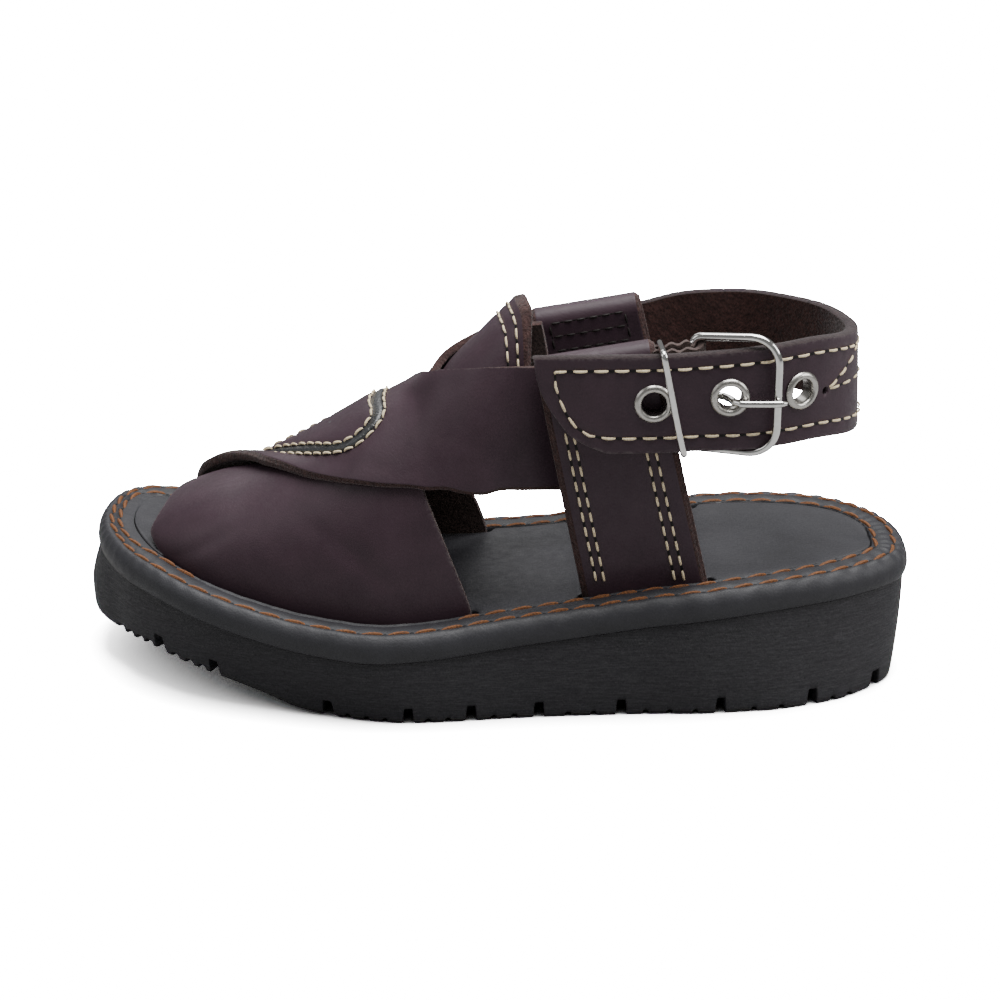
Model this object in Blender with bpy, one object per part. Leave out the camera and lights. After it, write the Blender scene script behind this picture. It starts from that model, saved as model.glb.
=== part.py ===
"""Peshawari chappal, left shoe, as an assembly of separate solids.

Frame: +X to the toe, +Y to the outer side (the wearer's left), +Z up.
The origin is on the floor, under the middle of the sole's box. All lengths are in metres.
"""
import math

import bmesh
import bpy
import numpy as np
from mathutils import Vector, geometry

# Sole
SOLE_LENGTH = 0.195
TOE_BUMPER = 0.0022
BALL_WIDTH = 0.076
SEAT_HEIGHT = 0.033
TOE_SPRING = 0.0115
RAND_HEIGHT = 0.0066
RAND_ROUND = 0.0016
BORDER_WIDTH = 0.0082
INSOLE_THICKNESS = 0.0016
SOLE_TAPER = 0.0018
RAND_OVERHANG = 0.0005
LUG_HEIGHT = 0.004
LUG_GAP = 0.0023
SLOT_END = 0.022
SLOT_ROOM = 0.0013

# Last and straps. LAST_BACK is the place on X where the shares along the last start.
LAST_LENGTH = 0.9949 * SOLE_LENGTH
LAST_BACK = -0.5036 * SOLE_LENGTH
INSTEP_HEIGHT = 0.0944
LEATHER = 0.0019
OVER_LEATHER = 0.0025
APPLIQUE = 0.001
TONGUE_LEATHER = 0.0019
ROOT_BLEND = (0.84, 0.97)

# Upright quarters, each folded over into a tunnel
OUTER_TUNNEL_ACROSS = 0.3237 * BALL_WIDTH
INNER_TUNNEL_ACROSS = -0.2895 * BALL_WIDTH
CHAPE_LEATHER = 0.0024
CHAPE_WIDTH = 0.0212
FOLD_HEIGHT_FRONT = 0.0850
FOLD_HEIGHT_REAR = 0.0893
INNER_FOLD_DROP = 0.0032
TUNNEL_ROOM = 0.0004
TUNNEL_SLACK = 0.0018
CHAPE_SETBACK = 0.006
CHAPE_NECK = 0.0002

# Heel strap, its eyelets and the buckle
STRAP_LEATHER = 0.003
STRAP_ROUND = 0.0005
STRAP_WIDTH = 0.0222
STRAP_ROOM = 0.0009
STRAP_OUTER_ACROSS = (OUTER_TUNNEL_ACROSS + CHAPE_LEATHER / 2 + TUNNEL_ROOM + LEATHER + STRAP_ROOM
                      + STRAP_LEATHER / 2)
STRAP_TIP = -0.0082
STRAP_BEND = -0.0512
STRAP_BACK = 0.0305
STRAP_END = -0.0122
STRAP_FLARE = 0.0015
EYELET_RADIUS = 0.0044
EYELET_HOLE = 0.00265
EYELET_WALL = 0.00035
EYELET_FLANGE = 0.0006
EYELETS_BACK = (-0.0348, -0.0515, -0.0672)
EYELET_DROPS = (0.0106, 0.0103, 0.0111)
WIRE = 0.0009
PRONG = 0.00085
PRONG_DROP = 0.0008
PRONG_REACH = 0.0018
BAR_BACK = -0.0437
FRAME_LENGTH = 0.0192
FRAME_ROOM_TOP = 0.0005
FRAME_ROOM_BOTTOM = 0.0001
FRAME_CORNER = 0.0062
KEEPER_TOP_BACK = -0.0365
KEEPER_LEAN = 0.0051
KEEPER_CORNER = 0.0012
KEEPER_WIRE = 0.9 * WIRE
KEEPER_ROOM_TOP = 0.0012
KEEPER_ROOM_BOTTOM = 0.0001

# Clearances
GAP = 0.0003
ROOT_GAP = 0.0006
LAP = 0.0006
TONGUE_GAP = 0.0006
LEAF_GAP = 0.0004

# Outline of the wrapped rand, seen from above. Columns: along (share of the rand's length, from
# the heel) and across (share of the ball width, outer side positive).
OUTLINE = (
    (0.000, 0.020), (0.013, 0.184), (0.080, 0.313), (0.170, 0.398), (0.253, 0.440),
    (0.338, 0.441), (0.474, 0.459), (0.598, 0.496), (0.655, 0.497), (0.716, 0.462),
    (0.794, 0.408), (0.871, 0.336), (0.930, 0.228), (0.972, 0.090), (1.000, -0.110),
    (0.988, -0.300), (0.948, -0.432), (0.890, -0.480), (0.810, -0.498), (0.690, -0.500),
    (0.600, -0.472), (0.523, -0.428), (0.440, -0.400), (0.340, -0.405), (0.240, -0.415),
    (0.165, -0.395), (0.100, -0.342), (0.048, -0.250), (0.012, -0.120),
)

# Heights along the sole. Columns: along (share of the last's length, as in every table below)
# and share of the height named beside each table.
FOOTBED_PROFILE = (  # of SEAT_HEIGHT
    (0.00, 1.000), (0.10, 0.988), (0.20, 0.967), (0.30, 0.912), (0.40, 0.836), (0.50, 0.764),
    (0.60, 0.703), (0.66, 0.690), (0.72, 0.712), (0.80, 0.794), (0.86, 0.885), (0.92, 0.975),
    (1.00, 1.030),
)
TREAD_PROFILE = (  # of TOE_SPRING
    (0.000, 0.00), (0.640, 0.00), (0.700, 0.04), (0.740, 0.11), (0.794, 0.42), (0.843, 0.66),
    (0.895, 0.86), (0.940, 1.00), (1.000, 0.93),
)
TAPER_PROFILE = (  # of SOLE_TAPER, at the tread
    (0.00, 1.00), (0.05, 0.55), (0.09, 0.00), (0.16, 0.05), (0.22, 0.75), (0.28, 1.00),
    (0.52, 1.00), (0.60, 1.30), (0.66, 1.90), (0.72, 2.00), (0.82, 1.60), (0.90, 1.00),
    (0.96, 0.30), (1.00, 0.00),
)
BUMPER_PROFILE = (  # of TOE_BUMPER: level in the rubber, from the tread to the rand
    (0.00, 0.55), (0.10, 0.95), (0.45, 1.00), (0.80, 0.55), (1.00, 0.15),
)
BUMPER_START = 0.94
LUG_GAPS_ALONG = (0.038, 0.125, 0.237, 0.357, 0.455, 0.535, 0.610, 0.711, 0.848, 0.917)

# Sections of the last, from the instep to the toe. Columns: along, crest height (share of
# INSTEP_HEIGHT), crest across (share of BALL_WIDTH), roundness exponent, and the share of the
# footbed's half width that the last keeps on its outer and inner side.
LAST_SECTIONS = (
    (0.385, 1.130, 0.05, 4.0, 0.61, 0.76),
    (0.430, 1.060, 0.05, 3.6, 0.65, 0.78),
    (0.479, 0.985, 0.05, 3.0, 0.80, 0.90),
    (0.508, 0.928, 0.05, 2.7, 0.93, 1.00),
    (0.526, 0.892, 0.05, 2.4, 1.00, 1.00),
    (0.557, 0.828, 0.05, 2.2, 1.00, 1.00),
    (0.588, 0.742, 0.045, 2.2, 1.00, 1.00),
    (0.630, 0.687, 0.035, 2.2, 1.00, 1.00),
    (0.680, 0.617, 0.02, 2.2, 1.00, 1.00),
    (0.737, 0.548, 0.00, 2.2, 1.00, 1.00),
    (0.800, 0.490, -0.02, 2.2, 1.00, 1.00),
    (0.840, 0.466, -0.04, 2.2, 1.00, 1.00),
    (0.887, 0.420, -0.06, 2.2, 1.00, 1.00),
    (0.930, 0.355, -0.08, 2.2, 1.00, 1.00),
)

# Edges of the straps on the last. Columns: along and turn, where turn goes from 0 at the outer
# root through 0.5 at the crest to 1 at the inner root.
UNDER_FRONT = (
    (0.898, 0.000), (0.910, 0.080), (0.918, 0.200), (0.915, 0.340), (0.906, 0.500),
    (0.896, 0.600), (0.880, 0.690), (0.830, 0.740), (0.760, 0.760), (0.680, 0.775),
    (0.600, 0.800), (0.530, 0.858), (0.483, 0.911), (0.433, 0.950), (0.390, 0.962),
)
UNDER_REAR = (
    (0.536, 0.000), (0.561, 0.079), (0.582, 0.168), (0.596, 0.250), (0.600, 0.330),
    (0.592, 0.420), (0.577, 0.500), (0.560, 0.586), (0.520, 0.665), (0.486, 0.726),
    (0.457, 0.769), (0.425, 0.800), (0.390, 0.820),
)
OVER_FRONT = (
    (0.390, 0.038), (0.433, 0.050), (0.483, 0.089), (0.530, 0.142), (0.592, 0.216),
    (0.638, 0.253), (0.693, 0.314), (0.731, 0.374), (0.772, 0.473), (0.802, 0.560),
    (0.835, 0.640), (0.862, 0.720), (0.880, 0.850), (0.886, 1.000),
)
OVER_REAR = (
    (0.390, 0.180), (0.425, 0.200), (0.457, 0.231), (0.486, 0.274), (0.520, 0.335),
    (0.560, 0.414), (0.577, 0.500), (0.592, 0.580), (0.600, 0.670), (0.594, 0.760),
    (0.570, 0.860), (0.515, 1.000),
)
LEAF_OUTER = (
    (0.790, 0.545), (0.767, 0.520), (0.726, 0.444), (0.688, 0.388), (0.661, 0.373),
    (0.638, 0.384), (0.623, 0.415), (0.618, 0.450), (0.617, 0.485),
)
LEAF_INNER = (
    (0.790, 0.555), (0.767, 0.575), (0.726, 0.610), (0.688, 0.640), (0.661, 0.648),
    (0.638, 0.636), (0.623, 0.600), (0.618, 0.555), (0.617, 0.510),
)
TONGUE_REAR = (
    (0.464, 0.130), (0.464, 0.238), (0.465, 0.316), (0.467, 0.380), (0.471, 0.443),
    (0.477, 0.550), (0.477, 0.620), (0.473, 0.700), (0.468, 0.780), (0.464, 0.860),
)
TONGUE_FRONT = (
    (0.555, 0.200), (0.585, 0.300), (0.600, 0.400), (0.605, 0.500), (0.600, 0.600),
    (0.585, 0.700), (0.555, 0.800),
)

# Quarters: front and rear edge at the foot and at the fold, as places along X.
QUARTER_FOOT = (-0.0202, -0.0487)
QUARTER_TOP = (-0.0085, -0.0347)

# Heel strap. Columns: share of its length from the tip, top edge's height.
STRAP_TOP = (
    (0.00, 0.0870), (0.16, 0.0872), (0.30, 0.0887), (0.36, 0.0890), (0.50, 0.0862),
    (0.68, 0.0866), (1.00, 0.0840),
)
TIP_CUT = (  # share of the strap's width that the rounded tip leaves off
    (0.000, 0.96), (0.007, 0.70), (0.031, 0.36), (0.052, 0.17), (0.085, 0.035), (0.100, 0.00),
    (1.000, 0.00),
)


def monotone(rows, at):
    """Smooth curve through rows of (place, value) that never overshoots them."""
    x, y = np.array(rows, dtype=float).T
    step, rise = np.diff(x), np.diff(y)
    slope = rise / step
    tangent = np.zeros(len(x))
    for i in range(1, len(x) - 1):
        if slope[i - 1] * slope[i] > 0:
            tangent[i] = 2 * slope[i - 1] * slope[i] / (slope[i - 1] + slope[i])
    tangent[0], tangent[-1] = slope[0], slope[-1]
    at = np.clip(np.asarray(at, dtype=float), x[0], x[-1])
    i = np.clip(np.searchsorted(x, at, side="right") - 1, 0, len(x) - 2)
    t = (at - x[i]) / step[i]
    return (y[i] * (1 + 2 * t) * (1 - t) ** 2 + tangent[i] * step[i] * t * (1 - t) ** 2
            + y[i + 1] * t * t * (3 - 2 * t) - tangent[i + 1] * step[i] * t * t * (1 - t))


def spline(points, count, closed=False):
    """Catmull-Rom curve through the points, sampled at equal lengths."""
    p = np.array(points, dtype=float)
    if closed:
        p = np.vstack([p[-1], p, p[0], p[1]])
    else:
        p = np.vstack([2 * p[0] - p[1], p, 2 * p[-1] - p[-2]])
    t = np.linspace(0, 1, 24, endpoint=False)[:, None]
    runs = []
    for a, b, c, d in zip(p, p[1:], p[2:], p[3:]):
        runs.append(0.5 * (2 * b + (c - a) * t + (2 * a - 5 * b + 4 * c - d) * t ** 2
                           + (3 * b - a - 3 * c + d) * t ** 3))
    dense = np.vstack(runs + [p[-2][None]])
    length = np.concatenate([[0], np.cumsum(np.linalg.norm(np.diff(dense, axis=0), axis=1))])
    at = np.linspace(0, length[-1], count, endpoint=not closed)
    return np.stack([np.interp(at, length, dense[:, k]) for k in range(dense.shape[1])], axis=1)


def ease(value, start, end):
    """Smooth step from 0 at start to 1 at end."""
    t = np.clip((value - start) / (end - start), 0, 1)
    return t * t * (3 - 2 * t)


def sole_outline(inset):
    """The rand's outline moved inward, as a dense closed curve behind the toe's bumper."""
    curve = spline(OUTLINE, 480, closed=True)
    low, high = curve.min(axis=0), curve.max(axis=0)
    curve = (curve - (low + high) / 2) / (high - low) * (SOLE_LENGTH - TOE_BUMPER, BALL_WIDTH)
    curve -= (TOE_BUMPER / 2, 0)
    forward = np.roll(curve, -1, axis=0) - np.roll(curve, 1, axis=0)
    forward /= np.linalg.norm(forward, axis=1)[:, None]
    inward = np.stack([forward[:, 1], -forward[:, 0]], axis=1)
    return curve + inward * np.asarray(inset).reshape(-1, 1)


def sides(curve):
    """Split a closed outline into its outer and inner side, each from heel to toe."""
    heel, toe = int(curve[:, 0].argmin()), int(curve[:, 0].argmax())
    turned = np.roll(curve, -heel, axis=0)
    toe = (toe - heel) % len(curve)
    return turned[:toe + 1], np.vstack([turned[toe:], turned[:1]])[::-1]


def half_widths(inset, x):
    """Outer and inner edge of the inset outline at the places x."""
    outer, inner = sides(sole_outline(inset))
    return np.interp(x, outer[:, 0], outer[:, 1]), np.interp(x, inner[:, 0], inner[:, 1])


def along(x):
    return (np.asarray(x) - LAST_BACK) / LAST_LENGTH


def footbed_height(x):
    return SEAT_HEIGHT * monotone(FOOTBED_PROFILE, along(x))


def tread_height(x):
    return TOE_SPRING * monotone(TREAD_PROFILE, along(x))


def joint_height(x):
    return footbed_height(x) - RAND_HEIGHT


def tray_height(x):
    return footbed_height(x) - INSOLE_THICKNESS - GAP


def new_object(name, vertices, faces, material):
    """One named closed solid, with its faces turned out."""
    mesh = bpy.data.meshes.new(name)
    mesh.from_pydata([tuple(float(c) for c in v) for v in vertices], [], faces)
    work = bmesh.new()
    work.from_mesh(mesh)
    bmesh.ops.recalc_face_normals(work, faces=work.faces)
    work.to_mesh(mesh)
    work.free()
    thing = bpy.data.objects.new(name, mesh)
    bpy.context.scene.collection.objects.link(thing)
    mesh.materials.append(material)
    mesh.shade_smooth()
    mesh.set_sharp_from_angle(angle=math.radians(35))
    return thing


def finish(name, colour, roughness, metallic=0.0):
    material = bpy.data.materials.new(name)
    material.use_nodes = True
    shader = material.node_tree.nodes["Principled BSDF"]
    shader.inputs["Base Color"].default_value = (*colour, 1.0)
    shader.inputs["Roughness"].default_value = roughness
    shader.inputs["Metallic"].default_value = metallic
    return material


def station_ring(inset, height, count):
    """Closed ring of the outline at one inset, with outer and inner points at equal x."""
    outer, inner = sides(sole_outline(inset))
    turn = (1 - np.cos(np.linspace(0, math.pi, count))) / 2
    x = outer[0, 0] + (outer[-1, 0] - outer[0, 0]) * turn
    left = np.interp(x, outer[:, 0], outer[:, 1])
    right = np.interp(x, inner[:, 0], inner[:, 1])
    z = height(x)
    ring = [(x[i], left[i], z[i]) for i in range(count)]
    return ring + [(x[i], right[i], z[i]) for i in range(count - 2, 0, -1)]


def stacked(rings, count):
    """Vertices and faces of a solid whose rings follow each other from bottom cap to top cap."""
    size = len(rings[0])
    vertices = [point for ring in rings for point in ring]
    faces = []
    for k in range(len(rings) - 1):
        a, b = k * size, (k + 1) * size
        faces += [(a + i, a + (i + 1) % size, b + (i + 1) % size, b + i) for i in range(size)]
    for base in (0, (len(rings) - 1) * size):
        cap = [(base, base + 1, base + size - 1)]
        cap += [(base + i, base + i + 1, base + size - i - 1, base + size - i)
                for i in range(1, count - 2)]
        cap.append((base + count - 2, base + count - 1, base + count))
        faces += cap
    return vertices, faces


def cut(thing, cutters):
    """Take the cutters' shapes out of a solid."""
    for index, cutter in enumerate(cutters):
        cutter.hide_render = True
        cutter.display_type = "WIRE"
        modifier = thing.modifiers.new(f"cut {index}", "BOOLEAN")
        modifier.operation = "DIFFERENCE"
        modifier.solver = "EXACT"
        modifier.object = cutter


def block(name, low, high):
    """A plain block between two corners, used as a cutter."""
    corners = [(x, y, z) for x in (low[0], high[0]) for y in (low[1], high[1])
               for z in (low[2], high[2])]
    faces = [(0, 1, 3, 2), (4, 6, 7, 5), (0, 4, 5, 1), (2, 3, 7, 6), (0, 2, 6, 4), (1, 5, 7, 3)]
    return new_object(name, corners, faces, finish(name, (1, 1, 1), 1))


def rubber_inset(level):
    """Inset of the rubber's side at each outline point, at a level from the tread to the rand."""
    rim = sole_outline(0.0)
    taper = SOLE_TAPER * monotone(TAPER_PROFILE, along(rim[:, 0])) * (1 - level) ** 1.4
    reach = np.clip((rim[:, 0] / rim[:, 0].max() - BUMPER_START) / (1 - BUMPER_START), 0, 1)
    bumper = (TOE_BUMPER + RAND_OVERHANG) * ease(reach, 0, 1) * monotone(BUMPER_PROFILE, level)
    return RAND_OVERHANG + taper - bumper


def build_outsole(material):
    count = 44

    def between(share):
        return lambda x: tread_height(x) + share * (joint_height(x) - GAP - tread_height(x))

    rings = [station_ring(rubber_inset(level), between(level), count)
             for level in (0, 0.1, 0.45, 0.8, 1)]
    outsole = new_object("outsole", *stacked(rings, count), material)
    cutters = []
    for index, share in enumerate(LUG_GAPS_ALONG):
        x = LAST_BACK + share * LAST_LENGTH
        top = float(tread_height(x)) + LUG_HEIGHT
        cutters.append(block(f"lug_gap_{index}", (x - LUG_GAP / 2, -BALL_WIDTH, -LUG_HEIGHT),
                             (x + LUG_GAP / 2, BALL_WIDTH, top)))
    cut(outsole, cutters)
    return outsole


def build_rand(material):
    count = 44
    drop = RAND_ROUND
    rings = [station_ring(0.4 * RAND_OVERHANG, joint_height, count),
             station_ring(0.0, lambda x: joint_height(x) + 0.35 * RAND_HEIGHT, count),
             station_ring(0.12 * drop, lambda x: footbed_height(x) - 0.9 * drop, count),
             station_ring(0.45 * drop, lambda x: footbed_height(x) - 0.3 * drop, count),
             station_ring(1.2 * drop, footbed_height, count),
             station_ring(BORDER_WIDTH, footbed_height, count),
             station_ring(BORDER_WIDTH, tray_height, count)]
    return new_object("rand", *stacked(rings, count), material)


def insole_inset():
    """Inset of the insole's edge at each outline point: it steps in to leave the straps room."""
    seat = sole_outline(BORDER_WIDTH)
    place = along(seat[:, 0])
    outer_side = seat[:, 1] > 0
    quarter = (along(QUARTER_FOOT[1]), along(QUARTER_FOOT[0]))
    slots = ((True, *quarter), (True, UNDER_REAR[0][0], UNDER_FRONT[0][0]),
             (False, *quarter), (False, OVER_REAR[-1][0], OVER_FRONT[-1][0]))
    room = np.zeros(len(seat))
    for outer, rear, front in slots:
        cover = (ease(place, rear - 2 * SLOT_END, rear - SLOT_END)
                 * (1 - ease(place, front + SLOT_END, front + 2 * SLOT_END)))
        room = np.maximum(room, cover * (outer_side == outer))
    return BORDER_WIDTH + GAP + (LEATHER + SLOT_ROOM) * room


def build_insole(material):
    count = 56
    inset = insole_inset()
    rings = [station_ring(inset, lambda x: tray_height(x) + GAP, count),
             station_ring(inset, lambda x: tray_height(x) + GAP + INSOLE_THICKNESS, count)]
    return new_object("insole", *stacked(rings, count), material)


def last_point(x, turn):
    """Point over the last at x; turn is 0 at the outer root, 0.5 at the crest, 1 at the inner."""
    x, turn = np.broadcast_arrays(np.asarray(x, dtype=float), np.asarray(turn, dtype=float))
    place = along(x)
    columns = np.array(LAST_SECTIONS)
    crest, centre, power, keep_outer, keep_inner = (
        monotone(columns[:, (0, k)], place) for k in range(1, 6))
    centre = centre * BALL_WIDTH
    base = tray_height(x) + ROOT_GAP
    rise = crest * INSTEP_HEIGHT - base
    outer, inner = half_widths(BORDER_WIDTH + ROOT_GAP + LEATHER, x)
    angle = math.pi * turn
    level = np.abs(np.cos(angle)) ** (2 / power)
    width = np.where(turn < 0.5, (outer - centre) * keep_outer, (inner - centre) * keep_inner)
    return np.stack([x, centre + width * level, base + rise * np.sin(angle) ** (2 / power)], -1)


def lifted(x, turn, lift):
    """Point at a height above the last, along its normal."""
    small = 1e-4
    turn = np.clip(turn, 0.0, 1.0)
    low, high = np.clip(turn - 0.004, 0, 1), np.clip(turn + 0.004, 0, 1)
    across = last_point(x, high) - last_point(x, low)
    ahead = last_point(x + small, turn) - last_point(x - small, turn)
    normal = np.cross(across, ahead)
    normal /= np.linalg.norm(normal, axis=-1, keepdims=True)
    return last_point(x, turn) + normal * np.asarray(lift)[..., None]


def sheet(name, front, rear, low, high, counts, material):
    """Closed strap between two edges on the last, from a low to a high lift.

    The edges are rows of (along, turn). The lifts are functions of along and turn.
    """
    across, long = counts
    first, last = spline(front, long), spline(rear, long)
    share = np.linspace(0, 1, across)[None, :, None]
    places = first[:, None, :] * (1 - share) + last[:, None, :] * share
    x = LAST_BACK + places[..., 0] * LAST_LENGTH
    turn = places[..., 1]
    under = lifted(x, turn, low(places[..., 0], turn)).reshape(-1, 3)
    over = lifted(x, turn, high(places[..., 0], turn)).reshape(-1, 3)
    vertices = list(under) + list(over)
    offset = len(under)
    faces = []
    for i in range(long - 1):
        for j in range(across - 1):
            a = i * across + j
            quad = (a, a + 1, a + across + 1, a + across)
            faces.append(quad)
            faces.append(tuple(offset + k for k in reversed(quad)))
    rim = [i * across for i in range(long)]
    rim += [(long - 1) * across + j for j in range(1, across)]
    rim += [i * across + across - 1 for i in range(long - 2, -1, -1)]
    rim += [j for j in range(across - 2, 0, -1)]
    for a, b in zip(rim, rim[1:] + rim[:1]):
        faces.append((a, b, offset + b, offset + a))
    return new_object(name, vertices, faces, material)


def over_lift(place, turn):
    """The outer strap rides on the inner one and comes down to its own root."""
    return (LEATHER - LAP) * (1 - ease(turn, *ROOT_BLEND))


def build_upper(material):
    """The two cross straps, joined where they cross."""
    under = sheet("upper", UNDER_FRONT, UNDER_REAR, lambda a, t: 0 * a,
                  lambda a, t: LEATHER + 0 * a, (11, 38), material)
    over = sheet("over_strap", OVER_FRONT, OVER_REAR, over_lift,
                 lambda a, t: over_lift(a, t) + OVER_LEATHER
                 - (OVER_LEATHER - LEATHER) * ease(t, *ROOT_BLEND), (11, 38), material)
    over.hide_render = True
    over.display_type = "WIRE"
    join = under.modifiers.new("join", "BOOLEAN")
    join.operation = "UNION"
    join.solver = "EXACT"
    join.object = over
    return under


def build_leaf(material):
    low = LEATHER - LAP + OVER_LEATHER + LEAF_GAP
    return sheet("vamp_leaf", LEAF_OUTER, LEAF_INNER, lambda a, t: low + 0 * a,
                 lambda a, t: low + APPLIQUE + 0 * a, (9, 18), material)


def build_tongue(material):
    top = -TONGUE_GAP
    return sheet("tongue", TONGUE_REAR, TONGUE_FRONT, lambda a, t: top - TONGUE_LEATHER + 0 * a,
                 lambda a, t: top + 0 * a, (8, 22), material)


def holed_loft(name, outsides, holes, material):
    """Closed solid lofted through stations that each have an outer ring and a hole ring."""
    size, inner = len(outsides[0]), len(holes[0])
    vertices = []
    for outside, hole in zip(outsides, holes):
        vertices += list(outside) + list(hole)
    step = size + inner
    faces = []
    for k in range(len(outsides) - 1):
        a, b = k * step, (k + 1) * step
        faces += [(a + i, a + (i + 1) % size, b + (i + 1) % size, b + i) for i in range(size)]
        a, b = a + size, b + size
        faces += [(b + i, b + (i + 1) % inner, a + (i + 1) % inner, a + i) for i in range(inner)]
    for k in (0, len(outsides) - 1):
        rings = [[Vector(p) for p in outsides[k]], [Vector(p) for p in holes[k]]]
        faces += [tuple(k * step + i for i in triangle)
                  for triangle in geometry.tessellate_polygon(rings)]
    return new_object(name, vertices, faces, material)


def fold_height(x, side):
    """Top of a quarter's fold at x; the inner quarter's fold is lower."""
    front, rear = QUARTER_TOP
    share = (x - front) / (rear - front)
    top = FOLD_HEIGHT_FRONT + (FOLD_HEIGHT_REAR - FOLD_HEIGHT_FRONT) * share
    return top - (0 if side > 0 else INNER_FOLD_DROP)


def build_quarter(name, side, tunnel_across, filling, material):
    """Upright strap from its slot in the footbed to a fold that closes into a tunnel."""
    half = filling / 2 + TUNNEL_ROOM
    wall = LEATHER
    outsides, holes = [], []
    for share in np.linspace(0, 1, 7):
        foot = QUARTER_FOOT[0] + (QUARTER_FOOT[1] - QUARTER_FOOT[0]) * share
        head = QUARTER_TOP[0] + (QUARTER_TOP[1] - QUARTER_TOP[0]) * share
        top = fold_height(head, side)
        base = float(tray_height(foot)) + ROOT_GAP
        root = half_widths(BORDER_WIDTH + ROOT_GAP, np.array([foot]))[0 if side > 0 else 1][0]

        def place(across, height):
            lean = (height - base) / (top - base)
            return (foot + (head - foot) * lean, across, height)

        def face(height):
            rise = ease(height, base, base + 0.6 * (top - base))
            return root + (tunnel_across + side * (half + wall) - root) * float(rise)

        crown = half + wall
        bottom = top - wall - STRAP_WIDTH - TUNNEL_SLACK
        heights = np.linspace(base, top - crown, 9)
        ring = [place(face(h), h) for h in heights]
        for turn in np.linspace(0, math.pi, 7)[1:-1]:
            ring.append(place(tunnel_across + side * crown * math.cos(turn),
                              top - crown + crown * math.sin(turn)))
        for h in np.linspace(top - crown, bottom - 0.001, 5):
            ring.append(place(tunnel_across - side * crown, h))
        ring.append(place(tunnel_across - side * crown * 0.6, bottom - 0.0035))
        for h in np.linspace(bottom - 0.006, base, 6):
            ring.append(place(face(h) - side * wall, h))
        hole = [place(tunnel_across + side * half, h)
                for h in np.linspace(bottom, top - crown, 4)]
        for turn in np.linspace(0, math.pi, 5)[1:-1]:
            hole.append(place(tunnel_across + side * half * math.cos(turn),
                              top - crown + half * math.sin(turn)))
        hole += [place(tunnel_across - side * half, h)
                 for h in np.linspace(top - crown, bottom, 4)]
        outsides.append(ring)
        holes.append(hole)
    return holed_loft(name, outsides, holes, material)


def strap_route(count):
    """Middle line of the heel strap in plan, from the tip round the heel to its inner end."""
    centre = (STRAP_OUTER_ACROSS + INNER_TUNNEL_ACROSS) / 2
    half = (STRAP_OUTER_ACROSS - INNER_TUNNEL_ACROSS) / 2
    power = 2 / 1.9
    points = [(STRAP_TIP + (STRAP_BEND - STRAP_TIP) * t, STRAP_OUTER_ACROSS)
              for t in np.linspace(0, 1, 60, endpoint=False)]
    for turn in np.linspace(0, math.pi, 120):
        back, side = math.sin(turn), math.cos(turn)
        points.append((STRAP_BEND - STRAP_BACK * back ** power,
                       centre + half * math.copysign(abs(side) ** power, side)))
    points += [(STRAP_BEND + (STRAP_END - STRAP_BEND) * t, INNER_TUNNEL_ACROSS)
               for t in np.linspace(0, 1, 61)[1:]]
    route = np.array(points)
    run = np.concatenate([[0], np.cumsum(np.linalg.norm(np.diff(route, axis=0), axis=1))])
    at = np.linspace(0, run[-1], count)
    return np.stack([np.interp(at, run, route[:, k]) for k in (0, 1)], axis=1), at / run[-1]


def route_normals(route):
    """Unit vectors in plan that point away from the foot."""
    tangent = np.gradient(route, axis=0)
    tangent /= np.linalg.norm(tangent, axis=1)[:, None]
    return np.stack([tangent[:, 1], -tangent[:, 0]], axis=1)


def build_heel_strap(material):
    route, share = strap_route(64)
    normal = route_normals(route)
    inner_run = ease(route[:, 0], STRAP_BEND, QUARTER_TOP[1]) * (route[:, 1] < 0)
    in_tunnel = fold_height(route[:, 0], -1) - LEATHER - 0.55 * TUNNEL_SLACK
    top = monotone(STRAP_TOP, share) * (1 - inner_run) + in_tunnel * inner_run
    low = top - STRAP_WIDTH * (1 - monotone(TIP_CUT, share))
    flare = STRAP_FLARE * np.clip((STRAP_BEND - route[:, 0]) / STRAP_BACK, 0, 1) ** 2
    half = STRAP_LEATHER / 2
    rings = []
    for (x, y), (nx, ny), high, foot, lean in zip(route, normal, top, low, flare):
        rounding = min(STRAP_ROUND, 0.25 * (high - foot))
        section = [(lean - half, foot + rounding), (-half, high - rounding), (0, high),
                   (half, high - rounding), (lean + half, foot + rounding), (lean, foot)]
        rings.append([(x + nx * d, y + ny * d, z) for d, z in section])
    size = len(rings[0])
    vertices = [point for ring in rings for point in ring]
    faces = []
    for k in range(len(rings) - 1):
        a, b = k * size, (k + 1) * size
        faces += [(a + i, a + (i + 1) % size, b + (i + 1) % size, b + i) for i in range(size)]
    faces.append(tuple(range(size)))
    faces.append(tuple(range((len(rings) - 1) * size, len(rings) * size)))
    strap = new_object("heel_strap", vertices, faces, material)
    cutters = []
    for index in range(len(EYELETS_BACK)):
        spot, outward = eyelet_place(index)
        radius = EYELET_HOLE + EYELET_WALL + GAP
        depth = 2 * STRAP_LEATHER
        cutters.append(turned(f"eyelet_bore_{index}", [(0, -depth), (radius, -depth),
                              (radius, depth), (0, depth)], spot, outward, 20, material))
    cut(strap, cutters)
    return strap


def outer_run(back):
    """Middle of the strap's outer run at a place on X, the way it faces, and its top edge."""
    route, share = strap_route(400)
    outer = route[:, 1] > 0
    best = np.abs(np.where(outer, route[:, 0], 1) - back).argmin()
    return route[best], route_normals(route)[best], float(monotone(STRAP_TOP, share[best]))


def eyelet_place(index):
    """Middle of an eyelet on the strap's middle line, and the way it faces."""
    (x, y), normal, top = outer_run(EYELETS_BACK[index])
    return Vector((x, y, top - EYELET_DROPS[index])), Vector((normal[0], normal[1], 0))


def chape_top(x):
    """Top edge of the tab in the outer tunnel at x."""
    return fold_height(x, 1) - LEATHER - TUNNEL_SLACK / 2


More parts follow.
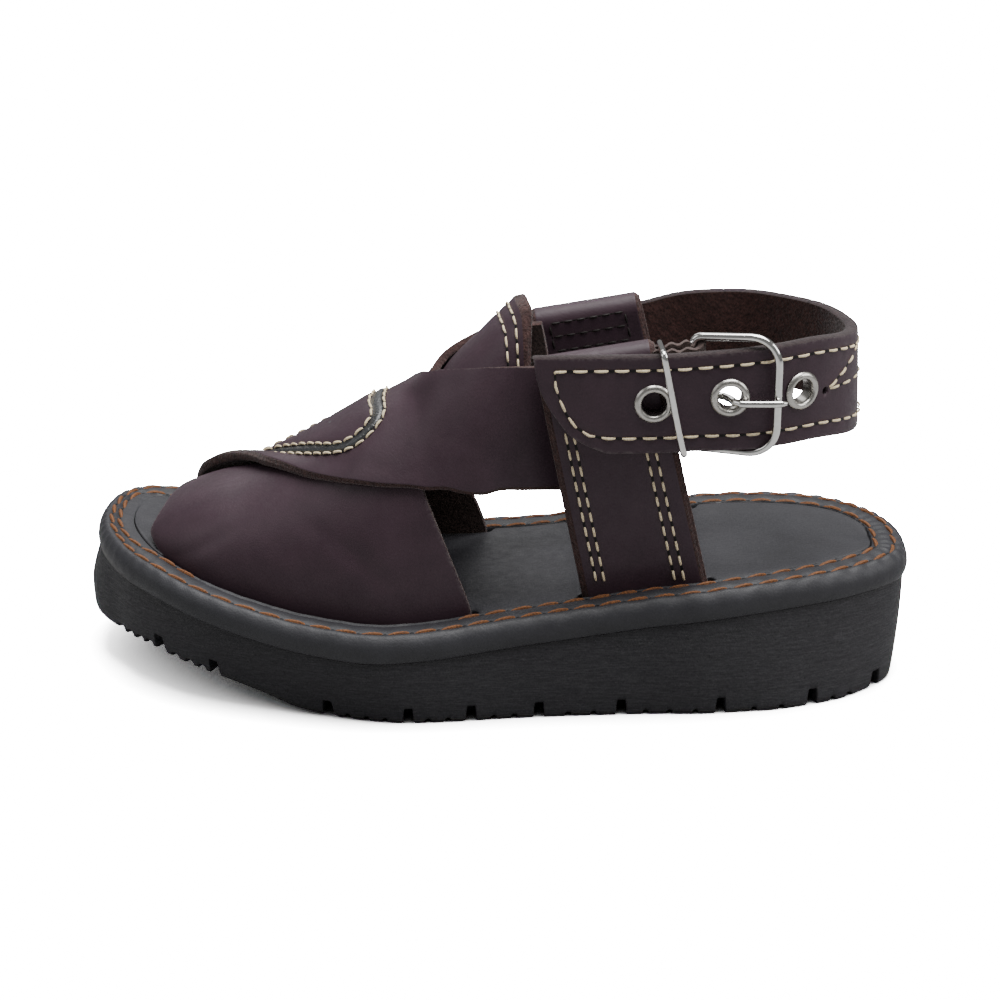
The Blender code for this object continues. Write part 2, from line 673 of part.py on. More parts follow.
def held_span(strap_backs, tab_backs, room_bottom, room_top):
    """Bottom and top of the strap and the tab at some places on X, with room."""
    strap = [outer_run(back)[2] for back in strap_backs]
    tab = [chape_top(back) for back in tab_backs]
    low = min(min(strap) - STRAP_WIDTH, min(tab) - CHAPE_WIDTH)
    return low - room_bottom, max(strap + tab) + room_top


def frame_span():
    """Bottom and top of the middle of the frame's wire, clear of the strap and the tab."""
    return held_span((BAR_BACK, BAR_BACK - FRAME_LENGTH), (BAR_BACK,),
                     FRAME_ROOM_BOTTOM + WIRE, FRAME_ROOM_TOP + WIRE)


def keeper_span():
    """Bottom and top of the middle of the keeper's wire, clear of the strap and the tab."""
    ends = (KEEPER_TOP_BACK, KEEPER_TOP_BACK - KEEPER_LEAN)
    return held_span(ends, ends, KEEPER_ROOM_BOTTOM + KEEPER_WIRE,
                     KEEPER_ROOM_TOP + KEEPER_WIRE)


def turned(name, profile, spot, axis, sides_count, material):
    """Solid turned about an axis. The profile is rows of (radius, along the axis).

    A closed profile that starts at radius 0 gives a plug; any other gives a ring.
    """
    axis = axis.normalized()
    across = axis.orthogonal().normalized()
    third = axis.cross(across)
    vertices, rows = [], []
    for radius, height in profile:
        if radius == 0:
            rows.append([len(vertices)])
            vertices.append(spot + axis * height)
            continue
        rows.append(list(range(len(vertices), len(vertices) + sides_count)))
        for k in range(sides_count):
            angle = math.tau * k / sides_count
            vertices.append(spot + axis * height + across * (radius * math.cos(angle))
                            + third * (radius * math.sin(angle)))
    faces = []
    pairs = list(zip(rows, rows[1:]))
    if profile[0][0] > 0:
        pairs.append((rows[-1], rows[0]))
    for a, b in pairs:
        for k in range(sides_count):
            n = (k + 1) % sides_count
            if len(a) == 1 and len(b) > 1:
                faces.append((a[0], b[k], b[n]))
            elif len(b) == 1 and len(a) > 1:
                faces.append((a[k], b[0], a[n]))
            elif len(a) > 1 and len(b) > 1:
                faces.append((a[k], b[k], b[n], a[n]))
    return new_object(name, vertices, faces, material)


def build_eyelet(index, material):
    spot, outward = eyelet_place(index)
    barrel = EYELET_HOLE + EYELET_WALL
    face = STRAP_LEATHER / 2 + GAP
    profile = [(EYELET_HOLE, -STRAP_LEATHER / 2), (EYELET_HOLE, face),
               (EYELET_HOLE + 0.0005, face + EYELET_FLANGE),
               (EYELET_RADIUS - 0.0006, face + EYELET_FLANGE),
               (EYELET_RADIUS, face + 0.0002), (EYELET_RADIUS, face), (barrel, face),
               (barrel, -STRAP_LEATHER / 2)]
    return turned(f"eyelet_{index + 1}", profile, spot, outward, 20, material)


def wire(name, points, radius, closed, material, around=8):
    """Round wire along a route, with flat ends unless it is closed."""
    route = np.array(points, dtype=float)
    if closed:
        tangent = np.roll(route, -1, axis=0) - np.roll(route, 1, axis=0)
    else:
        tangent = np.gradient(route, axis=0)
    tangent /= np.linalg.norm(tangent, axis=1)[:, None]
    side = Vector(tangent[0]).orthogonal().normalized()
    vertices = []
    for spot, ahead in zip(route, tangent):
        ahead = Vector(ahead)
        side = (side - ahead * side.dot(ahead)).normalized()
        other = ahead.cross(side)
        for k in range(around):
            angle = math.tau * k / around
            vertices.append(Vector(spot) + side * (radius * math.cos(angle))
                            + other * (radius * math.sin(angle)))
    rows = len(route)
    faces = []
    for i in range(rows if closed else rows - 1):
        a, b = i * around, ((i + 1) % rows) * around
        for k in range(around):
            n = (k + 1) % around
            faces.append((a + k, a + n, b + n, b + k))
    if not closed:
        faces.append(tuple(range(around)))
        faces.append(tuple(range((rows - 1) * around, rows * around)))
    return new_object(name, vertices, faces, material)


def rounded_box(left, right, low, high, corners, steps=5):
    """Closed route round a box with rounded corners, from the lower left one."""
    spots = [((left, low), 180, corners[0]), ((right, low), 270, corners[1]),
             ((right, high), 0, corners[2]), ((left, high), 90, corners[3])]
    points = []
    for (u, v), start, radius in spots:
        cu = u + radius if u == left else u - radius
        cv = v + radius if v == low else v - radius
        for k in range(steps):
            angle = math.radians(start + 90 * k / (steps - 1))
            points.append((cu + radius * math.cos(angle), cv + radius * math.sin(angle)))
    return points


def bar_across():
    """Middle of the buckle's hidden bar: inside the strap, with the chape round it."""
    inner_face = STRAP_OUTER_ACROSS - STRAP_LEATHER / 2
    return inner_face - GAP - CHAPE_LEATHER * 0.65 - GAP - WIRE


def front_bar_across():
    """Middle of the buckle's open bar, clear of the strap and under the prong."""
    return STRAP_OUTER_ACROSS + STRAP_LEATHER / 2


def build_frame(material):
    front = BAR_BACK - FRAME_LENGTH
    small = FRAME_CORNER * 0.26
    route = rounded_box(front, BAR_BACK, *frame_span(),
                        (FRAME_CORNER, small, small, FRAME_CORNER))
    points = []
    for x, z in route:
        share = ease((BAR_BACK - x) / FRAME_LENGTH, 0.0, 0.6)
        y = bar_across() + (front_bar_across() - bar_across()) * float(share)
        points.append((x, y, z))
    return wire("buckle_frame", points, WIRE, True, material)


def build_keeper(material):
    inner = OUTER_TUNNEL_ACROSS - CHAPE_LEATHER / 2 - GAP - 2 * WIRE
    outer = STRAP_OUTER_ACROSS + STRAP_LEATHER / 2 + 2 * GAP + EYELET_FLANGE + WIRE
    points = []
    low, high = keeper_span()
    for y, z in rounded_box(inner, outer, low, high, (KEEPER_CORNER,) * 4):
        lean = (high - z) / (high - low)
        points.append((KEEPER_TOP_BACK - KEEPER_LEAN * lean, y, z))
    return wire("strap_keeper", points, KEEPER_WIRE, True, material)


def build_prong(material):
    """From the hidden bar through the second eyelet and over the open bar."""
    height = eyelet_place(1)[0].z - PRONG_DROP
    bar = bar_across()
    radius = WIRE + GAP + PRONG
    inner_run = STRAP_OUTER_ACROSS - STRAP_LEATHER / 2 - GAP - PRONG
    outer_run = front_bar_across() + WIRE + GAP + PRONG
    eye = EYELETS_BACK[1]
    points = []
    for degrees in (-150, -110, -70, -30, 10, 50, 90):
        angle = math.radians(degrees)
        points.append((BAR_BACK + radius * math.cos(angle), bar + radius * math.sin(angle)))
    points += [(eye + 0.0045, inner_run), (eye + 0.0026, inner_run),
               (eye + 0.0010, inner_run + 0.0007), (eye - 0.0002, inner_run + 0.0024),
               (eye - 0.0010, outer_run - 0.0014), (eye - 0.0025, outer_run - 0.0001),
               (eye - 0.0058, outer_run), (BAR_BACK - FRAME_LENGTH - PRONG_REACH, outer_run)]
    return wire("buckle_prong", [(x, y, height) for x, y in points], PRONG, False, material)


def build_chape(material):
    """Tab in the outer tunnel, with its rear end folded round the buckle's hidden bar."""
    bar = (BAR_BACK, bar_across())
    half = CHAPE_LEATHER / 2
    middle = OUTER_TUNNEL_ACROSS
    hole_radius = WIRE + GAP
    eye_radius = hole_radius + CHAPE_LEATHER * 0.65
    front = QUARTER_TOP[0] - CHAPE_SETBACK
    neck = BAR_BACK + eye_radius + CHAPE_NECK
    plan = [(front, middle + half), (front, middle - half), (neck, middle - half)]
    for degrees in range(-40, -321, -28):
        angle = math.radians(degrees)
        plan.append((bar[0] + eye_radius * math.cos(angle), bar[1] + eye_radius * math.sin(angle)))
    plan.append((neck, middle + half))
    hole = [(bar[0] + hole_radius * math.cos(math.tau * k / 12),
             bar[1] + hole_radius * math.sin(math.tau * k / 12)) for k in range(12)]

    drops = (CHAPE_WIDTH, 0.0)
    outsides = [[(x, y, chape_top(x) - drop) for x, y in plan] for drop in drops]
    holes = [[(x, y, chape_top(x) - drop) for x, y in hole] for drop in drops]
    chape = holed_loft("buckle_chape", outsides, holes, material)
    height = eyelet_place(1)[0].z - PRONG_DROP
    slot = PRONG + 2 * GAP
    reach = 2 * eye_radius
    cut(chape, [block("prong_slot", (BAR_BACK - reach, bar[1] - reach, height - slot),
                      (BAR_BACK + eye_radius + PRONG, bar[1] + reach, height + slot))])
    return chape


def main():
    for thing in list(bpy.data.objects):
        bpy.data.objects.remove(thing)
    rubber = finish("outsole rubber", (0.018, 0.017, 0.019), 0.62)
    wrap = finish("dark smooth leather", (0.055, 0.055, 0.06), 0.5)
    brown = finish("brown leather", (0.045, 0.028, 0.03), 0.5)
    lining = finish("brown lining leather", (0.06, 0.022, 0.018), 0.85)
    nickel = finish("bright nickel", (0.72, 0.70, 0.67), 0.2, 1.0)
    build_outsole(rubber)
    build_rand(wrap)
    build_insole(wrap)
    build_upper(brown)
    build_leaf(brown)
    build_tongue(brown)
    build_quarter("quarter_outer", 1, OUTER_TUNNEL_ACROSS, CHAPE_LEATHER, brown)
    build_quarter("quarter_inner", -1, INNER_TUNNEL_ACROSS, STRAP_LEATHER, brown)
    build_heel_strap(brown)
    build_chape(lining)
    build_frame(nickel)
    build_prong(nickel)
    build_keeper(nickel)
    for index in range(len(EYELETS_BACK)):
        build_eyelet(index, nickel)


if __name__ == "__main__":
    main()
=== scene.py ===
"""Looks of a peshawari chappal, left shoe: leathers, threads, rubber and nickel round the solids.

Frame: +X to the toe, +Y to the outer side, +Z up, in metres, with the origin on the floor.
"""
from __future__ import annotations

import logging
import math
from collections.abc import Callable, Sequence
from dataclasses import dataclass, field
from enum import Enum
from functools import cached_property

import bmesh
import bpy
import numpy as np
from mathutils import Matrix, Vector

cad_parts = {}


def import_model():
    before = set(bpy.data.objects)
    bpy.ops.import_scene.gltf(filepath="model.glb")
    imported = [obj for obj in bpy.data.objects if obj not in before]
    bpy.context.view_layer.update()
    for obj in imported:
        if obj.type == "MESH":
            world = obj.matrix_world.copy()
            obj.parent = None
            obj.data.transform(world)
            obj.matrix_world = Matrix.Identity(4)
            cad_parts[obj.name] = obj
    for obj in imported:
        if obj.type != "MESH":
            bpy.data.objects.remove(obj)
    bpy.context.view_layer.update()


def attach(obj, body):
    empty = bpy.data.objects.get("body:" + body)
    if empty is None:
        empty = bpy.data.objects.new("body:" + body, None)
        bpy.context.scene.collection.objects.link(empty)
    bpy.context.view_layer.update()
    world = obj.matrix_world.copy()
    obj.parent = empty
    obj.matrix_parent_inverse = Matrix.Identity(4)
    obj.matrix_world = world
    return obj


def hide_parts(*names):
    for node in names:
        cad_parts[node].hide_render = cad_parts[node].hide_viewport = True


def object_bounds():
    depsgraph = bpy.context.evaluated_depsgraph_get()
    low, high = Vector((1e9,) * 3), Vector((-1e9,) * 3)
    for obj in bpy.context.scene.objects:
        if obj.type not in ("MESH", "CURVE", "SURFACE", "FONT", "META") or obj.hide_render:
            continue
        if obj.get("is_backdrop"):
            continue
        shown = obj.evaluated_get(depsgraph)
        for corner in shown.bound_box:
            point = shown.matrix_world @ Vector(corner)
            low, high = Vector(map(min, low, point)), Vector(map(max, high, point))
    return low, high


LOG = logging.getLogger("chappal")
BODY = "root"
Grid = np.ndarray
Rows = Sequence[tuple[float, ...]]
Pair = tuple[float, float]
Colour = tuple[float, float, float]


class Side(Enum):
    """Side of the foot that a piece stands on."""

    OUTER = 1
    INNER = -1


class Face(Enum):
    """Faces of a strap that have their own finish."""

    GRAIN = 0
    EDGE = 1
    FLESH = 2


def monotone(rows: Rows, at: Grid) -> Grid:
    """Smooth curve through rows of (place, value) that never overshoots them.

    Args:
        rows: places and values, in rising order of place.
        at: places to read.

    Returns:
        The values at those places.
    """
    x, y = np.array(rows, dtype=float).T
    step, rise = np.diff(x), np.diff(y)
    slope = rise / step
    tangent = np.zeros(len(x))
    for i in range(1, len(x) - 1):
        if slope[i - 1] * slope[i] > 0:
            tangent[i] = 2 * slope[i - 1] * slope[i] / (slope[i - 1] + slope[i])
    tangent[0], tangent[-1] = slope[0], slope[-1]
    at = np.clip(np.asarray(at, dtype=float), x[0], x[-1])
    i = np.clip(np.searchsorted(x, at, side="right") - 1, 0, len(x) - 2)
    t = (at - x[i]) / step[i]
    return (y[i] * (1 + 2 * t) * (1 - t) ** 2 + tangent[i] * step[i] * t * (1 - t) ** 2
            + y[i + 1] * t * t * (3 - 2 * t) - tangent[i + 1] * step[i] * t * t * (1 - t))


def resample(path: Grid, count: int, closed: bool = False) -> Grid:
    """A polyline read again at equal lengths.

    Args:
        path: points in any number of dimensions.
        count: points wanted.
        closed: whether the last point joins the first.

    Returns:
        The new points.
    """
    dense = np.vstack([path, path[:1]]) if closed else path
    length = np.concatenate([[0], np.cumsum(np.linalg.norm(np.diff(dense, axis=0), axis=1))])
    at = np.linspace(0, length[-1], count, endpoint=not closed)
    return np.stack([np.interp(at, length, dense[:, k]) for k in range(dense.shape[1])], axis=1)


def spline(points: Rows, count: int, closed: bool = False) -> Grid:
    """Catmull-Rom curve through the points, sampled at equal lengths.

    Args:
        points: points to pass through.
        count: points wanted.
        closed: whether the curve closes on itself.

    Returns:
        The sampled curve.
    """
    p = np.array(points, dtype=float)
    if closed:
        p = np.vstack([p[-1], p, p[0], p[1]])
    else:
        p = np.vstack([2 * p[0] - p[1], p, 2 * p[-1] - p[-2]])
    t = np.linspace(0, 1, 24, endpoint=False)[:, None]
    runs = []
    for a, b, c, d in zip(p, p[1:], p[2:], p[3:]):
        runs.append(0.5 * (2 * b + (c - a) * t + (2 * a - 5 * b + 4 * c - d) * t ** 2
                           + (3 * b - a - 3 * c + d) * t ** 3))
    dense = np.vstack(runs) if closed else np.vstack(runs + [p[-2][None]])
    return resample(dense, count, closed)


def ease(value: Grid, start: float, end: float) -> Grid:
    """Smooth step from 0 at start to 1 at end."""
    t = np.clip((value - start) / (end - start), 0, 1)
    return t * t * (3 - 2 * t)


def hump(value: Grid, centre: float, width: float) -> Grid:
    """Smooth bump of height 1 at the centre."""
    return np.exp(-((value - centre) / width) ** 2)


def unit(vectors: Grid) -> Grid:
    """Vectors brought to length 1."""
    return vectors / np.maximum(np.linalg.norm(vectors, axis=-1, keepdims=True), 1e-12)


def packed(count: int) -> Grid:
    """Shares from 0 to 1 that lie closer together near both ends."""
    t = np.linspace(0, 1, count)
    return 0.35 * t + 0.65 * (1 - np.cos(math.pi * t)) / 2


@dataclass(frozen=True)
class SoleShape:
    """Outline and heights that the whole shoe is built on."""

    length: float = 0.195
    toe_bumper: float = 0.0022
    last_length: float = 0.194005
    last_back: float = -0.098202
    ball_width: float = 0.076
    seat_height: float = 0.033
    toe_spring: float = 0.0115
    rand_height: float = 0.0066
    border: float = 0.0082
    insole: float = 0.0016
    gap: float = 0.0003
    outline_rows: Rows = (
        (0.000, 0.020), (0.013, 0.184), (0.080, 0.313), (0.170, 0.398), (0.253, 0.440),
        (0.338, 0.441), (0.474, 0.459), (0.598, 0.496), (0.655, 0.497), (0.716, 0.462),
        (0.794, 0.408), (0.871, 0.336), (0.930, 0.228), (0.972, 0.090), (1.000, -0.110),
        (0.996, -0.330), (0.961, -0.458), (0.900, -0.493), (0.810, -0.498), (0.690, -0.500),
        (0.600, -0.472), (0.523, -0.428), (0.440, -0.400), (0.340, -0.405), (0.240, -0.415),
        (0.165, -0.398), (0.096, -0.352), (0.042, -0.262), (0.009, -0.128),
    )
    footbed_rows: Rows = (
        (0.00, 1.000), (0.10, 0.988), (0.20, 0.967), (0.30, 0.912), (0.40, 0.836), (0.50, 0.764),
        (0.60, 0.703), (0.66, 0.690), (0.72, 0.712), (0.80, 0.794), (0.86, 0.885), (0.92, 0.975),
        (1.00, 1.030),
    )
    tread_rows: Rows = (
        (0.000, 0.00), (0.640, 0.00), (0.700, 0.04), (0.740, 0.11), (0.794, 0.42),
        (0.843, 0.66), (0.895, 0.86), (0.940, 1.00), (1.000, 0.93),
    )

    def along(self, x: Grid) -> Grid:
        """Share of the last's length, from the heel."""
        return (np.asarray(x) - self.last_back) / self.last_length

    def place(self, share: Grid) -> Grid:
        """Place on X of a share of the last's length."""
        return self.last_back + np.asarray(share) * self.last_length

    def footbed(self, x: Grid) -> Grid:
        """Height of the footbed."""
        return self.seat_height * monotone(self.footbed_rows, self.along(x))

    def tread(self, x: Grid) -> Grid:
        """Height of the tread's lowest surface."""
        return self.toe_spring * monotone(self.tread_rows, self.along(x))

    def joint(self, x: Grid) -> Grid:
        """Height where the wrapped rand meets the rubber."""
        return self.footbed(x) - self.rand_height

    def tray(self, x: Grid) -> Grid:
        """Height of the tray that the insole and the strap roots stand in."""
        return self.footbed(x) - self.insole - self.gap

    def rim(self, count: int) -> tuple[Grid, Grid]:
        """Closed outline and its inward normals.

        Args:
            count: points wanted.

        Returns:
            Points and inward unit vectors, both in plan.
        """
        curve = spline(self.outline_rows, count, closed=True)
        low, high = curve.min(axis=0), curve.max(axis=0)
        size = (self.length - self.toe_bumper, self.ball_width)
        curve = (curve - (low + high) / 2) / (high - low) * size - (self.toe_bumper / 2, 0)
        forward = unit(np.roll(curve, -1, axis=0) - np.roll(curve, 1, axis=0))
        return curve, np.stack([forward[:, 1], -forward[:, 0]], axis=1)

    def half_widths(self, inset: float, x: Grid) -> tuple[Grid, Grid]:
        """Outer and inner edge of the inset outline at the places x."""
        curve, inward = self.rim(480)
        curve = curve + inward * inset
        heel, toe = int(curve[:, 0].argmin()), int(curve[:, 0].argmax())
        turned = np.roll(curve, -heel, axis=0)
        toe = (toe - heel) % len(curve)
        outer, inner = turned[:toe + 1], np.vstack([turned[toe:], turned[:1]])[::-1]
        return (np.interp(x, outer[:, 0], outer[:, 1]), np.interp(x, inner[:, 0], inner[:, 1]))


@dataclass(frozen=True)
class LastShape:
    """The foot shape that the cross straps lie on.

    Section columns: along, crest height (share of the instep height), crest across (share of
    the ball width), roundness, and the share of the half width kept on each side.
    """

    sole: SoleShape
    instep: float = 0.0944
    leather: float = 0.0019
    root_gap: float = 0.0006
    sections: Rows = (
        (0.385, 1.130, 0.05, 4.0, 0.61, 0.76), (0.430, 1.060, 0.05, 3.6, 0.65, 0.78),
        (0.479, 0.985, 0.05, 3.0, 0.80, 0.90), (0.508, 0.928, 0.05, 2.7, 0.93, 1.00),
        (0.526, 0.892, 0.05, 2.4, 1.00, 1.00), (0.557, 0.828, 0.05, 2.2, 1.00, 1.00),
        (0.588, 0.742, 0.045, 2.2, 1.00, 1.00), (0.630, 0.687, 0.035, 2.2, 1.00, 1.00),
        (0.680, 0.617, 0.02, 2.2, 1.00, 1.00), (0.737, 0.548, 0.00, 2.2, 1.00, 1.00),
        (0.800, 0.490, -0.02, 2.2, 1.00, 1.00), (0.840, 0.466, -0.04, 2.2, 1.00, 1.00),
        (0.887, 0.420, -0.06, 2.2, 1.00, 1.00), (0.930, 0.355, -0.08, 2.2, 1.00, 1.00),
    )

    def point(self, x: Grid, turn: Grid) -> Grid:
        """Point over the last; turn is 0 at the outer root and 1 at the inner root."""
        x, turn = np.broadcast_arrays(np.asarray(x, dtype=float), np.asarray(turn, dtype=float))
        table = np.array(self.sections)
        place = self.sole.along(x)
        crest, centre, power, keep_outer, keep_inner = (
            monotone(table[:, (0, k)], place) for k in range(1, 6))
        centre = centre * self.sole.ball_width
        base = self.sole.tray(x) + self.root_gap
        rise = crest * self.instep - base
        outer, inner = self.sole.half_widths(
            self.sole.border + self.root_gap + self.leather, x)
        angle = math.pi * turn
        level = np.abs(np.cos(angle)) ** (2 / power)
        width = np.where(turn < 0.5, (outer - centre) * keep_outer, (inner - centre) * keep_inner)
        height = base + rise * np.maximum(np.sin(angle), 0) ** (2 / power)
        return np.stack([x, centre + width * level, height], -1)

    def normal(self, x: Grid, turn: Grid) -> Grid:
        """Outward normal of the last."""
        step, small = 0.004, 1e-4
        low, high = np.clip(turn - step, 0, 1), np.clip(turn + step, 0, 1)
        across = self.point(x, high) - self.point(x, low)
        ahead = self.point(x + small, turn) - self.point(x - small, turn)
        return unit(np.cross(across, ahead))

    def lifted(self, place: Grid, turn: Grid, lift: Grid) -> Grid:
        """Point at a height above the last.

        Args:
            place: share of the sole's length.
            turn: share of the way over the foot.
            lift: height above the last.

        Returns:
            The points.
        """
        x = self.sole.place(place)
        turn = np.clip(turn, 0.0, 1.0)
        return self.point(x, turn) + self.normal(x, turn) * np.asarray(lift)[..., None]


class MeshBuild:
    """Collects vertices, faces and face finishes, and turns them into one named piece."""

    def __init__(self) -> None:
        """Start with nothing."""
        self.vertices: list[Grid] = []
        self.faces: list[tuple[int, ...]] = []
        self.slots: list[int] = []
        self.edge_share: list[float] = []

    def add(self, points: Grid, faces: list[tuple[int, ...]], slots: int | list[int],
            edge: Grid | float = 0.0) -> None:
        """Add a patch of mesh.

        Args:
            points: its vertices.
            faces: its faces, counted from its own first vertex.
            slots: finish of each face, or one for all.
            edge: how near each vertex is to a worn edge, from 0 to 1.
        """
        base = len(self.vertices)
        self.vertices += list(np.asarray(points, dtype=float).reshape(-1, 3))
        self.faces += [tuple(base + k for k in face) for face in faces]
        self.slots += [slots] * len(faces) if isinstance(slots, int) else slots
        count = len(self.vertices) - base
        self.edge_share += list(np.broadcast_to(np.asarray(edge, dtype=float), (count,)))

    def add_rings(self, rings: Grid, slot: int | Callable[[int], int] = 0,
                  loop: bool = False, caps: bool = False, edge: Grid | float = 0.0) -> None:
        """Add closed rings of equal size that follow each other.

        Args:
            rings: array of rings, points and coordinates.
            slot: finish, or a function of the ring's number.
            loop: whether the last ring joins the first.
            caps: whether the first and last ring are closed by a fan.
            edge: edge share of the vertices.
        """
        count, size = rings.shape[:2]
        faces, slots = [], []
        for k in range(count if loop else count - 1):
            a, b = k * size, (k + 1) % count * size
            faces += [(a + i, a + (i + 1) % size, b + (i + 1) % size, b + i) for i in range(size)]
            slots += [slot(k) if callable(slot) else slot] * size
        points = rings.reshape(-1, 3)
        if caps:
            middle = len(points)
            points = np.vstack([points, rings[0].mean(axis=0), rings[-1].mean(axis=0)])
            last = (count - 1) * size
            faces += [(middle, (i + 1) % size, i) for i in range(size)]
            faces += [(middle + 1, last + i, last + (i + 1) % size) for i in range(size)]
            slots += [slot(0) if callable(slot) else slot] * (2 * size)
            if not np.isscalar(edge):
                edge = np.concatenate([np.ravel(edge), [0.0, 0.0]])
        self.add(points, faces, slots, edge if np.isscalar(edge) else np.ravel(edge))

    def add_sheet(self, top: Grid, bottom: Grid, bulge: float,
                  finishes: tuple[Face, Face, Face] = (Face.GRAIN, Face.EDGE, Face.FLESH),
                  skive: tuple[int, int] = (0, 0)) -> None:
        """Add a closed strap between two grids, with a rounded rim.

        Args:
            top: outer surface, as rows, columns and coordinates.
            bottom: inner surface, of the same size.
            bulge: how far the rim stands out.
            finishes: finish of the top, the rim and the bottom.
            skive: strips along the first and the last long edge of the top that take the
                rim's finish.
        """
        rows, columns = top.shape[:2]
        index = np.arange(rows * columns).reshape(rows, columns)
        a, b = index[:-1, :-1].ravel(), index[:-1, 1:].ravel()
        c, d = index[1:, 1:].ravel(), index[1:, :-1].ravel()
        offset = rows * columns
        upper = list(zip(a.tolist(), b.tolist(), c.tolist(), d.tolist()))
        faces = upper + [tuple(offset + k for k in reversed(quad)) for quad in upper]
        strip = np.tile(np.arange(columns - 1), rows - 1)
        raw = (strip < skive[0]) | (strip >= columns - 1 - skive[1])
        slots = np.where(raw, finishes[1].value, finishes[0].value).tolist()
        slots += [finishes[2].value] * len(upper)
        loop = np.concatenate([index[:, 0], index[-1, 1:], index[-2::-1, -1], index[0, -2:0:-1]])
        ring_top = top.reshape(-1, 3)[loop]
        ring_low = bottom.reshape(-1, 3)[loop]
        inner_rows = np.clip(np.arange(rows), 1, rows - 2)
        inner_columns = np.clip(np.arange(columns), 1, columns - 2)
        inner = top[np.ix_(inner_rows, inner_columns)].reshape(-1, 3)[loop]
        out = unit(ring_top - inner)
        through = unit(ring_low - ring_top)
        out = unit(out - through * (out * through).sum(axis=1, keepdims=True))
        steps = (0.10, 0.30, 0.5, 0.70, 0.90)
        rings = [ring_top + (ring_low - ring_top) * f
                 + out * bulge * (1 - abs(2 * f - 1) ** 3) for f in steps]
        size = len(loop)
        base = 2 * offset
        chain = [list(loop)] + [list(range(base + k * size, base + (k + 1) * size))
                                for k in range(len(steps))] + [list(offset + loop)]
        for first, second in zip(chain, chain[1:]):
            for i in range(size):
                j = (i + 1) % size
                faces.append((int(first[i]), int(second[i]), int(second[j]), int(first[j])))
                slots.append(finishes[1].value)
        points = np.vstack([top.reshape(-1, 3), bottom.reshape(-1, 3), *rings])
        near = self.nearness(rows, columns)
        edge = np.concatenate([near, near, np.ones(size * len(steps))])
        self.add(points, faces, slots, edge)

    @staticmethod
    def nearness(rows: int, columns: int, reach: int = 3) -> Grid:
        """How near each vertex of a grid lies to its border, counted in steps."""
        i = np.minimum(np.arange(rows), np.arange(rows)[::-1])[:, None]
        j = np.minimum(np.arange(columns), np.arange(columns)[::-1])[None, :]
        return np.clip(1 - np.minimum(i, j) / reach, 0, 1).ravel()

    def add_tube(self, path: Grid, radius: Grid | float, around: int = 8, slot: int = 0,
                 closed: bool = False, flatten: float = 1.0, up: Grid | None = None) -> None:
        """Add a round or flattened wire along a path.

        Args:
            path: its middle line.
            radius: its radius, or one for each point.
            around: points in its section.
            slot: its finish.
            closed: whether its ends meet.
            flatten: height of the section as a share of its width.
            up: direction of the flattened side, one for each point.
        """
        path = np.asarray(path, dtype=float)
        count = len(path)
        radius = np.broadcast_to(np.asarray(radius, dtype=float), (count,))
        ahead = (np.roll(path, -1, axis=0) - np.roll(path, 1, axis=0)
                 if closed else np.gradient(path, axis=0))
        ahead = unit(ahead)
        side = np.zeros_like(path)
        if up is None:
            last = np.array(Vector(ahead[0]).orthogonal().normalized())
            for k in range(count):
                last = last - ahead[k] * float(last @ ahead[k])
                last = last / np.linalg.norm(last)
                side[k] = last
            third = np.cross(ahead, side)
        else:
            third = unit(up - ahead * (up * ahead).sum(axis=1, keepdims=True))
            side = np.cross(third, ahead)
        turn = np.linspace(0, math.tau, around, endpoint=False)
        rings = (path[:, None, :]
                 + side[:, None, :] * (radius[:, None] * np.cos(turn))[..., None]
                 + third[:, None, :] * (radius[:, None] * flatten * np.sin(turn))[..., None])
        self.add_rings(rings, slot, loop=closed, caps=not closed)

    def piece(self, name: str, finishes: Sequence[bpy.types.Material],
              replaces: Sequence[str] = (), weld: float = 0.0,
              sharp: float = 50.0) -> bpy.types.Object:
        """Make the named piece, dress it, and set it on the shoe.

        Args:
            name: the piece's plain name.
            finishes: its materials, in the order of the face finishes.
            replaces: the solids that it stands for.
            weld: distance within which vertices are joined, if any.
            sharp: angle in degrees past which an edge is sharp.

        Returns:
            The new object.
        """
        mesh = bpy.data.meshes.new(name)
        mesh.from_pydata([tuple(float(c) for c in v) for v in self.vertices], [], self.faces)
        mesh.polygons.foreach_set("material_index", self.slots)
        near = mesh.attributes.new("edge_share", "FLOAT", "POINT")
        near.data.foreach_set("value", np.array(self.edge_share, dtype=np.float32))
        work = bmesh.new()
        work.from_mesh(mesh)
        if weld:
            bmesh.ops.remove_doubles(work, verts=work.verts, dist=weld)
        bmesh.ops.recalc_face_normals(work, faces=work.faces)
        work.to_mesh(mesh)
        work.free()
        mesh.shade_smooth()
        mesh.set_sharp_from_angle(angle=math.radians(sharp))
        thing = bpy.data.objects.new(name, mesh)
        bpy.context.scene.collection.objects.link(thing)
        for finish in finishes:
            mesh.materials.append(finish)
        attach(thing, BODY)
        if replaces:
            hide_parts(*replaces)
        LOG.info("%s: %d faces", name, len(self.faces))
        return thing


